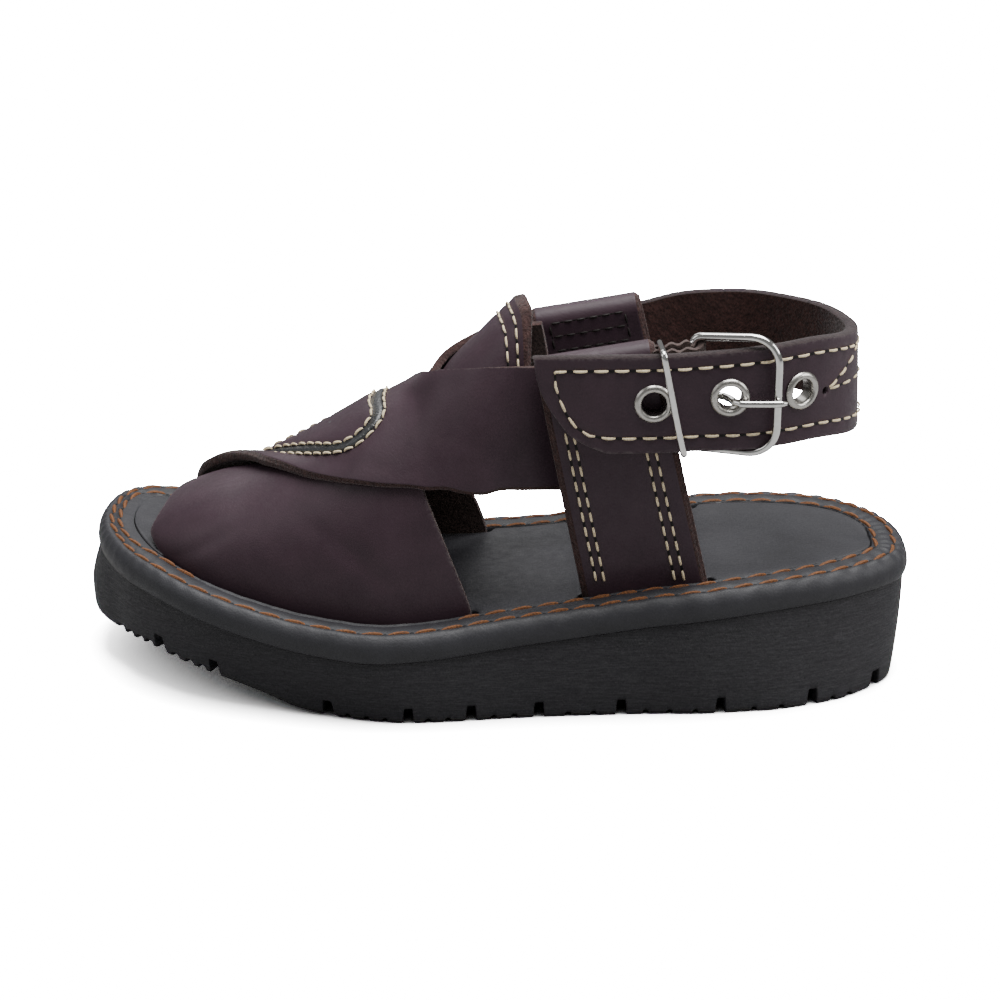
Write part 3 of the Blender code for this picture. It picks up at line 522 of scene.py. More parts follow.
class Nodes:
    """Short hand for laying out one material's or one group's nodes."""

    def __init__(self, tree: bpy.types.NodeTree) -> None:
        """Work in the given node tree."""
        self.tree = tree

    def node(self, kind: str, inputs: dict[str | int, object] | None = None,
             **settings: object) -> bpy.types.Node:
        """Add a node.

        Args:
            kind: its type name.
            inputs: values or sockets for its inputs.
            settings: its properties.

        Returns:
            The node.
        """
        node = self.tree.nodes.new(kind)
        for key, value in settings.items():
            setattr(node, key, value)
        for key, value in (inputs or {}).items():
            if isinstance(value, bpy.types.NodeSocket):
                self.tree.links.new(value, node.inputs[key])
            else:
                node.inputs[key].default_value = value
        return node

    def math(self, operation: str, first: object, second: object = 0.0,
             clamp: bool = False) -> bpy.types.NodeSocket:
        """Add a math node and return its value."""
        return self.node("ShaderNodeMath", {0: first, 1: second}, operation=operation,
                         use_clamp=clamp).outputs[0]

    def blend(self, share: object, first: object, second: object) -> bpy.types.NodeSocket:
        """Mix two colours and return the result."""
        return self.node("ShaderNodeMix", {0: share, 6: first, 7: second},
                         data_type="RGBA").outputs[2]

    def span(self, value: object, low: float, high: float, to_low: float = 0.0,
             to_high: float = 1.0) -> bpy.types.NodeSocket:
        """Map a value from one range to another, clamped, and return it."""
        return self.node("ShaderNodeMapRange", {0: value, 1: low, 2: high, 3: to_low,
                                                4: to_high}).outputs[0]

    def noise(self, scale: float, detail: float = 3.0, roughness: float = 0.5,
              stretch: tuple[float, float, float] = (1, 1, 1)) -> bpy.types.NodeSocket:
        """Noise in the shoe's own metres, and its value."""
        return self.node("ShaderNodeTexNoise", {"Vector": self.place(stretch), "Scale": scale,
                                                "Detail": detail,
                                                "Roughness": roughness}).outputs[0]

    def cells(self, scale: float, feature: str = "F1",
              stretch: tuple[float, float, float] = (1, 1, 1)) -> bpy.types.NodeSocket:
        """Cell pattern in the shoe's own metres, and its distance."""
        return self.node("ShaderNodeTexVoronoi", {"Vector": self.place(stretch), "Scale": scale},
                         feature=feature).outputs["Distance"]

    def place(self, stretch: tuple[float, float, float]) -> bpy.types.NodeSocket:
        """Place in the shoe's own metres, stretched along each axis."""
        place = self.node("ShaderNodeTexCoord").outputs["Object"]
        return self.node("ShaderNodeMapping", {"Vector": place, "Scale": stretch}).outputs[0]

    def link(self, value: bpy.types.NodeSocket, node: bpy.types.Node, name: str) -> None:
        """Link a value to the named input of a node."""
        self.tree.links.new(value, node.inputs[name])

    def dress(self, shader: bpy.types.Node, colour: bpy.types.NodeSocket,
              roughness: bpy.types.NodeSocket, relief: tuple[bpy.types.NodeSocket, float, float],
              constants: dict[str, float]) -> None:
        """Feed a Principled shader.

        Args:
            shader: the shader.
            colour: its base colour.
            roughness: its roughness.
            relief: a height, with the strength and the depth of its bump.
            constants: plain values of other inputs.
        """
        height, strength, depth = relief
        bump = self.node("ShaderNodeBump", {"Strength": strength, "Distance": depth,
                                            "Height": height})
        self.link(colour, shader, "Base Color")
        self.link(roughness, shader, "Roughness")
        self.link(bump.outputs[0], shader, "Normal")
        for name, value in constants.items():
            shader.inputs[name].default_value = value


def new_group(name: str, inputs: dict[str, float], outputs: Sequence[str]
              ) -> tuple[bpy.types.NodeTree, Nodes, bpy.types.Node, bpy.types.Node]:
    """Start a shader node group.

    Args:
        name: its name.
        inputs: its value inputs and their defaults.
        outputs: its value outputs.

    Returns:
        The group, a helper for its nodes, its input node and its output node.
    """
    group = bpy.data.node_groups.new(name, "ShaderNodeTree")
    for key, value in inputs.items():
        socket = group.interface.new_socket(name=key, in_out="INPUT",
                                            socket_type="NodeSocketFloat")
        socket.default_value = value
    for key in outputs:
        group.interface.new_socket(name=key, in_out="OUTPUT", socket_type="NodeSocketFloat")
    nodes = Nodes(group)
    return group, nodes, nodes.node("NodeGroupInput"), nodes.node("NodeGroupOutput")


class Effects:
    """Effects that several materials share, each built once as a node group."""

    @cached_property
    def leather_grain(self) -> bpy.types.NodeTree:
        """Fine hide grain: pores, wandering wrinkles and a soft tone that shifts over the hide."""
        group, n, given, out = new_group("leather grain", {"Pores": 1.0, "Wrinkles": 1.0},
                                         ("Height", "Tone", "Polish"))
        pores = n.span(n.cells(2300), 0.0, 0.45)
        fine = n.noise(3800, 4.0, 0.6)
        lines = n.span(n.cells(520, "DISTANCE_TO_EDGE", (1, 1.6, 1.6)), 0.0, 0.16)
        height = n.math("ADD", n.math("MULTIPLY", pores, given.outputs["Pores"]),
                        n.math("MULTIPLY", fine, 0.6))
        wrinkle = n.math("MULTIPLY", lines, given.outputs["Wrinkles"])
        n.link(n.math("ADD", height, wrinkle), out, "Height")
        n.link(n.span(n.noise(120, 4.0, 0.55), 0.32, 0.68), out, "Tone")
        n.link(n.span(n.noise(420, 5.0, 0.6), 0.3, 0.7), out, "Polish")
        return group

    @cached_property
    def suede_nap(self) -> bpy.types.NodeTree:
        """Brushed fibres of a flesh side, with darker and lighter patches."""
        group, n, given, out = new_group("suede nap", {"Fibre": 1.0}, ("Height", "Patch"))
        pile = n.math("ADD", n.noise(2600, 6.0, 0.75), n.cells(1500))
        n.link(n.math("MULTIPLY", pile, given.outputs["Fibre"]), out, "Height")
        n.link(n.span(n.noise(700, 6.0, 0.7), 0.35, 0.66), out, "Patch")
        return group

    @cached_property
    def edge_wear(self) -> bpy.types.NodeTree:
        """Mask of rubbed edges, from how near the surface lies to a cut edge."""
        group, n, given, out = new_group("edge wear", {"Amount": 1.0}, ("Mask",))
        near = n.node("ShaderNodeAttribute", attribute_name="edge_share").outputs["Fac"]
        broken = n.span(n.noise(900, 5.0, 0.65), 0.42, 0.62)
        mask = n.math("MULTIPLY", n.math("POWER", near, 1.8), broken)
        n.link(n.math("MULTIPLY", mask, given.outputs["Amount"], clamp=True), out, "Mask")
        return group

    @cached_property
    def moulded_skin(self) -> bpy.types.NodeTree:
        """Side of moulded rubber: fine level scratches over a pebbled skin, and pale scuffs."""
        group, n, given, out = new_group("moulded skin", {"Depth": 1.0}, ("Height", "Scuff"))
        level = n.noise(210, 7.0, 0.78, (1, 1, 14))
        broad = n.noise(90, 4.0, 0.6, (1, 1, 5))
        grit = n.noise(2200, 3.0, 0.6)
        height = n.math("ADD", level, n.math("MULTIPLY", broad, 0.8))
        height = n.math("ADD", height, n.math("MULTIPLY", grit, 0.35))
        n.link(n.math("MULTIPLY", height, given.outputs["Depth"]), out, "Height")
        n.link(n.span(n.noise(230, 7.0, 0.78, (1, 1, 13)), 0.44, 0.68), out, "Scuff")
        return group


def principled(name: str) -> tuple[bpy.types.Material, Nodes, bpy.types.Node]:
    """New material with its Principled shader and a helper for its nodes."""
    material = bpy.data.materials.new(name)
    material.use_nodes = True
    return (material, Nodes(material.node_tree),
            material.node_tree.nodes["Principled BSDF"])


@dataclass(frozen=True)
class LeatherFinish:
    """Smooth or waxed leather."""

    name: str
    colour: Colour
    shade: Colour
    worn: Colour
    roughness: Pair
    bump: float
    coat: float = 0.0
    wrinkles: float = 0.35
    wear: float = 0.5
    gloss: float = 0.3

    def build(self, effects: Effects) -> bpy.types.Material:
        """Make the material from the shared effects."""
        material, n, shader = principled(self.name)
        grain = n.node("ShaderNodeGroup", {"Wrinkles": self.wrinkles},
                       node_tree=effects.leather_grain)
        wear = n.node("ShaderNodeGroup", {"Amount": self.wear}, node_tree=effects.edge_wear)
        colour = n.blend(grain.outputs["Tone"], (*self.shade, 1), (*self.colour, 1))
        n.dress(shader, n.blend(wear.outputs["Mask"], colour, (*self.worn, 1)),
                n.span(grain.outputs["Polish"], 0, 1, *self.roughness),
                (grain.outputs["Height"], self.bump, 0.00025),
                {"Specular IOR Level": self.gloss, "Coat Weight": self.coat,
                 "Coat Roughness": 0.35})
        return material


@dataclass(frozen=True)
class SuedeFinish:
    """Napped flesh side, or a raw cut edge."""

    name: str
    colour: Colour
    shade: Colour
    fibre: float = 1.0
    bump: float = 0.6
    sheen: float = 0.15

    def build(self, effects: Effects) -> bpy.types.Material:
        """Make the material from the shared effects."""
        material, n, shader = principled(self.name)
        nap = n.node("ShaderNodeGroup", {"Fibre": self.fibre}, node_tree=effects.suede_nap)
        n.dress(shader, n.blend(nap.outputs["Patch"], (*self.shade, 1), (*self.colour, 1)),
                n.span(nap.outputs["Patch"], 0, 1, 0.95, 0.8),
                (nap.outputs["Height"], self.bump, 0.0004),
                {"Specular IOR Level": 0.15, "Sheen Weight": self.sheen, "Sheen Roughness": 0.5})
        return material


@dataclass(frozen=True)
class RubberFinish:
    """Black moulded rubber."""

    name: str = "black moulded rubber"
    colour: Colour = (0.0108, 0.0102, 0.0130)
    scuff: Colour = (0.025, 0.024, 0.028)

    def build(self, effects: Effects) -> bpy.types.Material:
        """Make the material from the shared effects."""
        material, n, shader = principled(self.name)
        skin = n.node("ShaderNodeGroup", node_tree=effects.moulded_skin)
        n.dress(shader, n.blend(skin.outputs["Scuff"], (*self.colour, 1), (*self.scuff, 1)),
                n.span(skin.outputs["Scuff"], 0, 1, 0.62, 0.5),
                (skin.outputs["Height"], 0.9, 0.0005), {"Specular IOR Level": 0.35})
        return material


@dataclass(frozen=True)
class ThreadFinish:
    """Twisted sewing thread."""

    name: str
    colour: Colour
    shade: Colour

    def build(self) -> bpy.types.Material:
        """Make the material."""
        material, n, shader = principled(self.name)
        twist = n.noise(2400, 3.0, 0.6)
        n.dress(shader,
                n.blend(n.span(twist, 0.35, 0.65), (*self.shade, 1), (*self.colour, 1)),
                n.span(twist, 0.3, 0.7, 0.55, 0.75), (twist, 0.5, 0.0002),
                {"Specular IOR Level": 0.25})
        return material


@dataclass(frozen=True)
class PlateFinish:
    """Nickel plate, bright or satin."""

    name: str
    colour: Colour
    roughness: Pair

    def build(self) -> bpy.types.Material:
        """Make the material."""
        material, n, shader = principled(self.name)
        haze = n.noise(900, 5.0, 0.6)
        dull = (*[0.86 * c for c in self.colour], 1)
        n.dress(shader, n.blend(n.span(haze, 0.35, 0.7), (*self.colour, 1), dull),
                n.span(haze, 0.3, 0.7, *self.roughness),
                (n.noise(3000, 3.0, 0.6), 0.06, 0.0001), {"Metallic": 1.0})
        return material


@dataclass
class Wardrobe:
    """Every finish of the shoe, built once."""

    effects: Effects = field(default_factory=Effects)

    def __post_init__(self) -> None:
        """Build the finishes."""
        made = self.effects
        self.grain = LeatherFinish(
            "brown waxed leather", (0.0380, 0.0212, 0.0292), (0.0300, 0.0165, 0.0232),
            (0.100, 0.082, 0.084), (0.42, 0.56), 0.12, coat=0.02, wear=0.8,
            gloss=0.24).build(made)
        self.edge = SuedeFinish("raw brown edge", (0.056, 0.026, 0.023),
                                (0.020, 0.010, 0.010)).build(made)
        self.flesh = SuedeFinish("brown flesh side", (0.085, 0.058, 0.052),
                                 (0.045, 0.031, 0.029)).build(made)
        self.sealed = SuedeFinish("sealed strap edge", (0.024, 0.014, 0.015),
                                  (0.012, 0.007, 0.008), fibre=0.4).build(made)
        self.lining = SuedeFinish("red brown suede lining", (0.050, 0.019, 0.016),
                                  (0.018, 0.007, 0.006), sheen=0.2).build(made)
        self.wrap = LeatherFinish(
            "dark wrapping leather", (0.0236, 0.0234, 0.0272), (0.0184, 0.0181, 0.0212),
            (0.05, 0.05, 0.054), (0.46, 0.60), 0.16, wrinkles=0.5, wear=0.2).build(made)
        self.paint = LeatherFinish(
            "painted black edge", (0.020, 0.021, 0.024), (0.012, 0.012, 0.014),
            (0.05, 0.05, 0.055), (0.22, 0.40), 0.35, coat=0.4, wrinkles=0.9, gloss=0.5
        ).build(made)
        self.rubber = RubberFinish().build(made)
        self.cream = ThreadFinish("cream thread", (0.74, 0.64, 0.44),
                                  (0.50, 0.40, 0.25)).build()
        self.orange = ThreadFinish("orange brown thread", (0.185, 0.072, 0.024),
                                   (0.070, 0.028, 0.012)).build()
        self.dark = ThreadFinish("dark brown thread", (0.010, 0.0065, 0.0065),
                                 (0.006, 0.004, 0.004)).build()
        # near-black finish of the marks between stitches: painted shadow of the needle holes
        self.hole = ThreadFinish("painted needle-hole shadow", (0.003, 0.002, 0.002),
                                 (0.002, 0.0015, 0.0015)).build()
        self.bright = PlateFinish("bright nickel", (0.70, 0.69, 0.67), (0.05, 0.12)).build()
        self.satin = PlateFinish("satin nickel", (0.47, 0.455, 0.425), (0.22, 0.36)).build()
        self.strap = (self.grain, self.edge, self.flesh)


@dataclass(frozen=True)
class Thread:
    """One kind of stitch, laid along a line on a surface."""

    radius: float
    pitch: float
    fill: float
    rise: float
    slant: float = 0.0
    # size of the near-black mark between stitches, painted shadow of a needle hole, as a share of
    # the radius
    hole: float = 0.85

    def sew(self, build: MeshBuild, path: Grid, normals: Grid, closed: bool = False) -> None:
        """Lay the stitches, and between them the near-black flat marks of painted needle-hole
        shadow.

        Args:
            build: the mesh that takes them: finish 0 is the thread, 1 the painted hole shadow.
            path: points on the surface.
            normals: the surface's normals there.
            closed: whether the line closes on itself.
        """
        both = np.hstack([path, normals])
        if closed:
            both = np.vstack([both, both[:1]])
        run = np.concatenate([[0], np.cumsum(
            np.linalg.norm(np.diff(both[:, :3], axis=0), axis=1))])
        count = max(1, round(run[-1] / self.pitch))
        pitch = run[-1] / count

        def read(at: Grid) -> tuple[Grid, Grid, Grid]:
            """Points, upward and sideward vectors at lengths along the line."""
            rows = np.stack([np.interp(at, run, both[:, k]) for k in range(6)], axis=1)
            spot, up = rows[:, :3], unit(rows[:, 3:])
            ahead = unit(np.gradient(spot, axis=0))
            return spot, up, np.cross(up, ahead)

        share = np.linspace(0, 1, 8)
        swell = np.sin(math.pi * share)
        for k in range(count):
            start = (k + (1 - self.fill) / 2) * pitch
            spot, up, side = read(start + share * self.fill * pitch)
            lift = -0.6 * self.radius + (0.9 * self.radius + self.rise) * swell ** 0.55
            line = spot + up * lift[:, None] + side * (self.slant * (share - 0.5))[:, None]
            build.add_tube(line, self.radius * (0.62 + 0.38 * swell ** 0.5), around=7)
            # near-black flat mark laid just above the surface: painted shadow of the needle hole
            if self.hole and k + 1 < count + closed:
                mark = start + self.fill * pitch
                length = (1 - self.fill) * pitch
                spot, up, side = read(mark + np.linspace(-0.12, 1.12, 5) * length)
                size = self.radius * self.hole * np.array([0.35, 1, 1, 1, 0.35])
                build.add_tube(spot + up * 0.00003, size, around=7, slot=1, flatten=0.35, up=up)


@dataclass
class Sole:
    """Rubber wedge, wrapped rand and insole, with the two rows of sole stitching."""

    shape: SoleShape
    taper: float = 0.0018
    overhang: float = 0.0005
    notch_depth: float = 0.0042
    lug_height: float = 0.004
    lug_gap: float = 0.0023
    groove: float = 0.0016
    groove_depth: float = 0.0011
    wave: float = 0.00216
    wave_depth: float = 0.0013
    stitch_pitch: float = 0.0061
    outer_row: float = 0.0030
    inner_row: float = 0.0073
    slot_end: float = 0.004
    slot_room: float = 0.0004
    strap_leather: float = 0.0019
    lug_gaps: Sequence[float] = (0.038, 0.125, 0.237, 0.357, 0.455, 0.535, 0.610, 0.711, 0.848,
                                 0.917)
    grooves: Sequence[float] = (0.076, 0.098, 0.163, 0.196, 0.268, 0.300, 0.328, 0.390, 0.420,
                                0.484, 0.508, 0.562, 0.586, 0.640, 0.664, 0.688)
    waves: Sequence[float] = (0.865, 0.881, 0.899, 0.932, 0.944, 0.957, 0.969)
    taper_rows: Rows = ((0.00, 1.00), (0.05, 0.55), (0.09, 0.00), (0.16, 0.05), (0.22, 0.75),
                        (0.28, 1.00), (0.52, 1.00), (0.60, 1.30), (0.66, 1.90), (0.72, 2.00),
                        (0.82, 1.60), (0.90, 1.00), (0.96, 0.30), (1.00, 0.00))
    bumper_rows: Rows = ((0.00, 0.55), (0.10, 0.95), (0.45, 1.00), (0.80, 0.55), (1.00, 0.15))
    bumper_start: float = 0.94
    strap_slots: Sequence[tuple[Side, float, float]] = (
        (Side.OUTER, 0.2552, 0.4021), (Side.OUTER, 0.536, 0.898),
        (Side.INNER, 0.2552, 0.4021), (Side.INNER, 0.515, 0.886))

    def build(self, wardrobe: Wardrobe) -> None:
        """Make the sole's pieces."""
        self.build_rubber(wardrobe)
        self.build_rand(wardrobe)
        self.build_insole(wardrobe)
        self.sew(wardrobe)

    def cuts(self) -> tuple[tuple[Sequence[float], float, float], ...]:
        """Shallow round cuts: their places, half their width as a share, and their depth."""
        span = 2 * self.shape.last_length
        return ((self.grooves, self.groove / span, self.groove_depth),
                (self.waves, self.wave / span, self.wave_depth))

    def tread_cut(self, x: Grid) -> Grid:
        """Depth of the notches and grooves at x, measured up from the tread."""
        place = self.shape.along(x)
        depth = np.zeros_like(x)
        half = self.lug_gap / 2 / self.shape.last_length
        for share in self.lug_gaps:
            depth = np.maximum(depth, self.lug_height
                               * (1 - ease(np.abs(place - share), half * 0.8, half * 1.2)))
        for rows, size, deep in self.cuts():
            for share in rows:
                away = np.clip(np.abs(place - share) / size, 0, 1)
                depth = np.maximum(depth, deep * np.sqrt(1 - away ** 2))
        return depth

    def rubber_inset(self, rim: Grid, level: Grid) -> Grid:
        """Inset of the rubber's side from the rand's outline.

        Args:
            rim: points of the outline.
            level: share of the way up from the tread to the rand.

        Returns:
            The insets; the toe's bumper stands out beyond the outline.
        """
        taper = self.taper * monotone(self.taper_rows, self.shape.along(rim[:, 0]))
        reach = (rim[:, 0] / rim[:, 0].max() - self.bumper_start) / (1 - self.bumper_start)
        bumper = (self.shape.toe_bumper + self.overhang) * ease(reach, 0, 1)
        return (self.overhang + taper * (1 - level) ** 1.4
                - bumper * monotone(self.bumper_rows, level))

    def stations(self, low: float, high: float) -> Grid:
        """Places along the sole, close together where the tread is cut and at both ends.

        Args:
            low: rear end of the outline.
            high: its front end.

        Returns:
            The places on X.
        """
        even = np.linspace(0.0, 1.0, 300)
        extra = []
        half = self.lug_gap / 2 / self.shape.last_length
        for share in self.lug_gaps:
            extra += [share + side * half * f for side in (-1, 1)
                      for f in (0.78, 0.9, 1.0, 1.1, 1.22)]
        for rows, size, _ in self.cuts():
            extra += [share + size * f for share in rows
                      for f in (-1.0, -0.94, -0.8, -0.5, 0, 0.5, 0.8, 0.94, 1.0)]
        places = self.shape.place(np.concatenate([even, extra]))
        places = places[(places > low + 0.0001) & (places < high - 0.0001)]
        turn = (1 - np.cos(np.linspace(0, math.pi, 121))) / 2
        ends = low + (high - low) * np.concatenate([turn[turn < 0.05], turn[turn > 0.95]])
        return np.unique(np.round(np.concatenate([places, ends]), 7))

    def build_rubber(self, wardrobe: Wardrobe) -> None:
        """Rubber wedge: tapered sides, cut tread and rounded lug edges."""
        curve, inward = self.shape.rim(1600)
        heel, toe = int(curve[:, 0].argmin()), int(curve[:, 0].argmax())
        x = self.stations(float(curve[heel, 0]), float(curve[toe, 0]))
        order = np.roll(np.arange(len(curve)), -heel)
        split = (toe - heel) % len(curve)
        outer, inner = order[:split + 1], np.append(order[split:], order[0])[::-1]
        ring, push = [], []
        for part, places in ((outer, x), (inner, x[-2:0:-1])):
            for source, target in ((curve, ring), (inward, push)):
                target.append(np.stack([np.interp(places, curve[part, 0], source[part, k])
                                        for k in (0, 1)], axis=1))
        plan, push = np.vstack(ring), unit(np.vstack(push))
        base = self.shape.tread(plan[:, 0])
        cut = self.tread_cut(plan[:, 0])
        top = self.shape.joint(plan[:, 0]) - 0.2 * self.shape.gap
        start = base + cut
        edge = 0.0007
        foot = self.rubber_inset(plan, np.zeros(len(plan))) + edge
        behind = plan + push * (foot + self.notch_depth)[:, None]
        rings = [np.column_stack([behind, base]), np.column_stack([behind, start])]
        for share, rounding in ((0.0, 1.0), (0.006, 0.55), (0.02, 0.15), (0.06, 0), (0.14, 0),
                                (0.25, 0), (0.38, 0), (0.52, 0), (0.66, 0), (0.8, 0), (0.9, 0),
                                (1.0, 0)):
            z = start + share * (top - start)
            level = np.clip((z - base) / (top - base), 0, 1)
            inset = self.rubber_inset(plan, level) + edge * rounding
            swell = 0.0002 * np.sin(math.pi * level)
            spot = plan + push * (inset - swell)[:, None]
            rings.append(np.column_stack([spot, z]))
        rings = np.array(rings)
        build = MeshBuild()
        build.add_rings(rings, edge=np.repeat([0, 0, 1, 1, 0.6, 0.2] + [0] * 8, rings.shape[1]))
        size, count = rings.shape[1], len(x)
        for row in (rings[0], rings[-1]):
            faces = [(0, 1, size - 1)]
            faces += [(i, i + 1, size - i - 1, size - i) for i in range(1, count - 2)]
            faces.append((count - 2, count - 1, count))
            build.add(row, faces, 0)
        build.piece("sole_rubber", [wardrobe.rubber], ["outsole"], weld=1e-6, sharp=40)

    def build_rand(self, wardrobe: Wardrobe) -> None:
        """Leather wrapped over the midsole's edge and drawn down along both rows of stitches."""
        count = 1100
        curve, inward = self.shape.rim(count)
        run = np.linspace(0, 1, count, endpoint=False)
        stitches = round(np.linalg.norm(np.diff(curve, axis=0), axis=1).sum() / self.stitch_pitch)
        beat = np.sin(math.pi * stitches * run) ** 2
        slow = (np.sin(math.tau * 7 * run + 0.6) + 0.6 * np.sin(math.tau * 17 * run + 2.1)) / 1.6
        place = self.shape.along(curve[:, 0])
        heel = 1 - ease(place, 0.25, 0.5)
        toe = ease(place, 0.8, 0.95)
        puff = 0.00014 + 0.00016 * heel + 0.00006 * toe
        section = (  # inset, depth under the footbed, share of the puffing
            (0.0090, 0.0066, 0), (0.0007, 0.0066, 0), (0.0003, 0.0065, 0), (0.0000, 0.0061, 0.1),
            (-0.0003, 0.0050, 0.2), (-0.0004, 0.0040, 0.3), (-0.0003, 0.0030, 0.4),
            (0.0000, 0.0020, 0.5), (0.0006, 0.0011, 0.7), (0.0012, 0.0005, 0.9),
            (0.0018, 0.00012, 1.0), (0.0024, 0.0001, 0.8),
            (0.0028, 0.00035, 0.2), (0.0030, 0.00045, 0), (0.0032, 0.00035, 0.2),
            (0.0037, 0.00008, 0.8), (0.0046, -0.0001, 1.0), (0.0056, -0.0001, 1.0),
            (0.0065, 0.0000, 0.8), (0.0070, 0.0003, 0.2), (0.0073, 0.00045, 0),
            (0.0076, 0.0003, 0.2), (0.0080, 0.0001, 0.5), (0.0083, 0.0004, 0), (0.0084, 0.0019, 0),
        )
        rings = []
        for inset, depth, share in section:
            drawn = self.row_shift(place) * float(ease(inset, 0.0036, 0.0070)) * (inset < 0.0082)
            spot = curve + inward * (inset - drawn)[:, None]
            lift = share * puff * (beat - 0.5) + 0.00012 * share * slow
            z = self.shape.footbed(spot[:, 0]) - depth + lift
            out = -0.6 * share * lift * (inset < 0.003)
            spot = spot + inward * out[:, None]
            rings.append(np.column_stack([spot, z]))
        build = MeshBuild()
        build.add_rings(np.array(rings), loop=True)
        build.piece("rand_wrap", [wardrobe.wrap], ["rand"])

    def row_shift(self, place: Grid) -> Grid:
        """How far the inner row of stitches comes out to the outer one at the toe."""
        return 0.0024 * ease(place, 0.93, 0.99)

    def insole_edges(self, x: Grid) -> tuple[Grid, Grid]:
        """Outer and inner edge of the insole, stepped in where a strap goes down."""
        place = self.shape.along(x)
        edges = []
        for side in Side:
            room = np.zeros_like(x)
            for slot_side, rear, front in self.strap_slots:
                cover = (ease(place, rear - 3 * self.slot_end, rear - self.slot_end)
                         * (1 - ease(place, front + self.slot_end, front + 3 * self.slot_end)))
                room = np.maximum(room, cover * (slot_side == side))
            wide = self.shape.half_widths(self.shape.border + self.shape.gap, x)
            edge = wide[0] if side is Side.OUTER else wide[1]
            edges.append(edge - side.value * (self.strap_leather + self.slot_room) * room)
        return edges[0], edges[1]

    def build_insole(self, wardrobe: Wardrobe) -> None:
        """Smooth insole with a soft dish, shallow rumples and a turned-down edge."""
        curve, inward = self.shape.rim(480)
        inset = curve + inward * (self.shape.border + self.shape.gap)
        low, high = inset[:, 0].min() + 1e-5, inset[:, 0].max() - 1e-5
        rows, columns = 420, 40
        x = low + (high - low) * (1 - np.cos(np.linspace(0, math.pi, rows))) / 2
        outer, inner = self.insole_edges(x)
        share = packed(columns)[None, :]
        y = outer[:, None] + (inner - outer)[:, None] * share
        x = np.broadcast_to(x[:, None], y.shape)
        place = self.shape.along(x)
        middle = 1 - (2 * share - 1) ** 2
        dish = (0.00055 * middle * (1 - ease(place, 0.30, 0.5))
                + 0.0004 * middle * ease(place, 0.5, 0.7))
        rumple = 0.00012 * (np.sin(310 * x + 180 * y) * np.sin(140 * x - 260 * y + 1.3))
        edge = 0.0004 * (np.exp(-share * 40) + np.exp(-(1 - share) * 40))
        top = self.shape.footbed(x) + 0.0001 - dish + rumple * middle - edge
        build = MeshBuild()
        build.add_sheet(np.stack([x, y, top], -1),
                        np.stack([x, y, self.shape.tray(x) + 0.0002], -1), 0.0001,
                        (Face.GRAIN, Face.GRAIN, Face.GRAIN))
        build.piece("insole_sock", [wardrobe.wrap], ["insole"])

    def sew(self, wardrobe: Wardrobe) -> None:
        """Both rows of the sole's stitching; the inner one stops where a strap goes down."""
        build = MeshBuild()
        thread = Thread(0.00048, self.stitch_pitch, 0.88, 0.00010, slant=0.0009, hole=0.8)
        curve, inward = self.shape.rim(1400)
        place = self.shape.along(curve[:, 0])
        for inset, drawn in ((self.outer_row, 0.0), (self.inner_row, 1.0)):
            spot = curve + inward * (inset - drawn * self.row_shift(place))[:, None]
            z = self.shape.footbed(spot[:, 0]) - 0.0004
            path = np.column_stack([spot, z])
            up = np.broadcast_to((0.0, 0.0, 1.0), path.shape)
            if inset == self.outer_row:
                thread.sew(build, path, up, closed=True)
                continue
            covered = (curve[:, 1] > 0) & (place > 0.55) & (place < 0.885)
            first = int(np.flatnonzero(covered & ~np.roll(covered, -1))[0]) + 1
            keep = np.roll(~covered, -first)
            thread.sew(build, np.roll(path, -first, axis=0)[keep],
                       np.roll(up, -first, axis=0)[keep])
        build.piece("sole_stitching", [wardrobe.orange, wardrobe.hole])


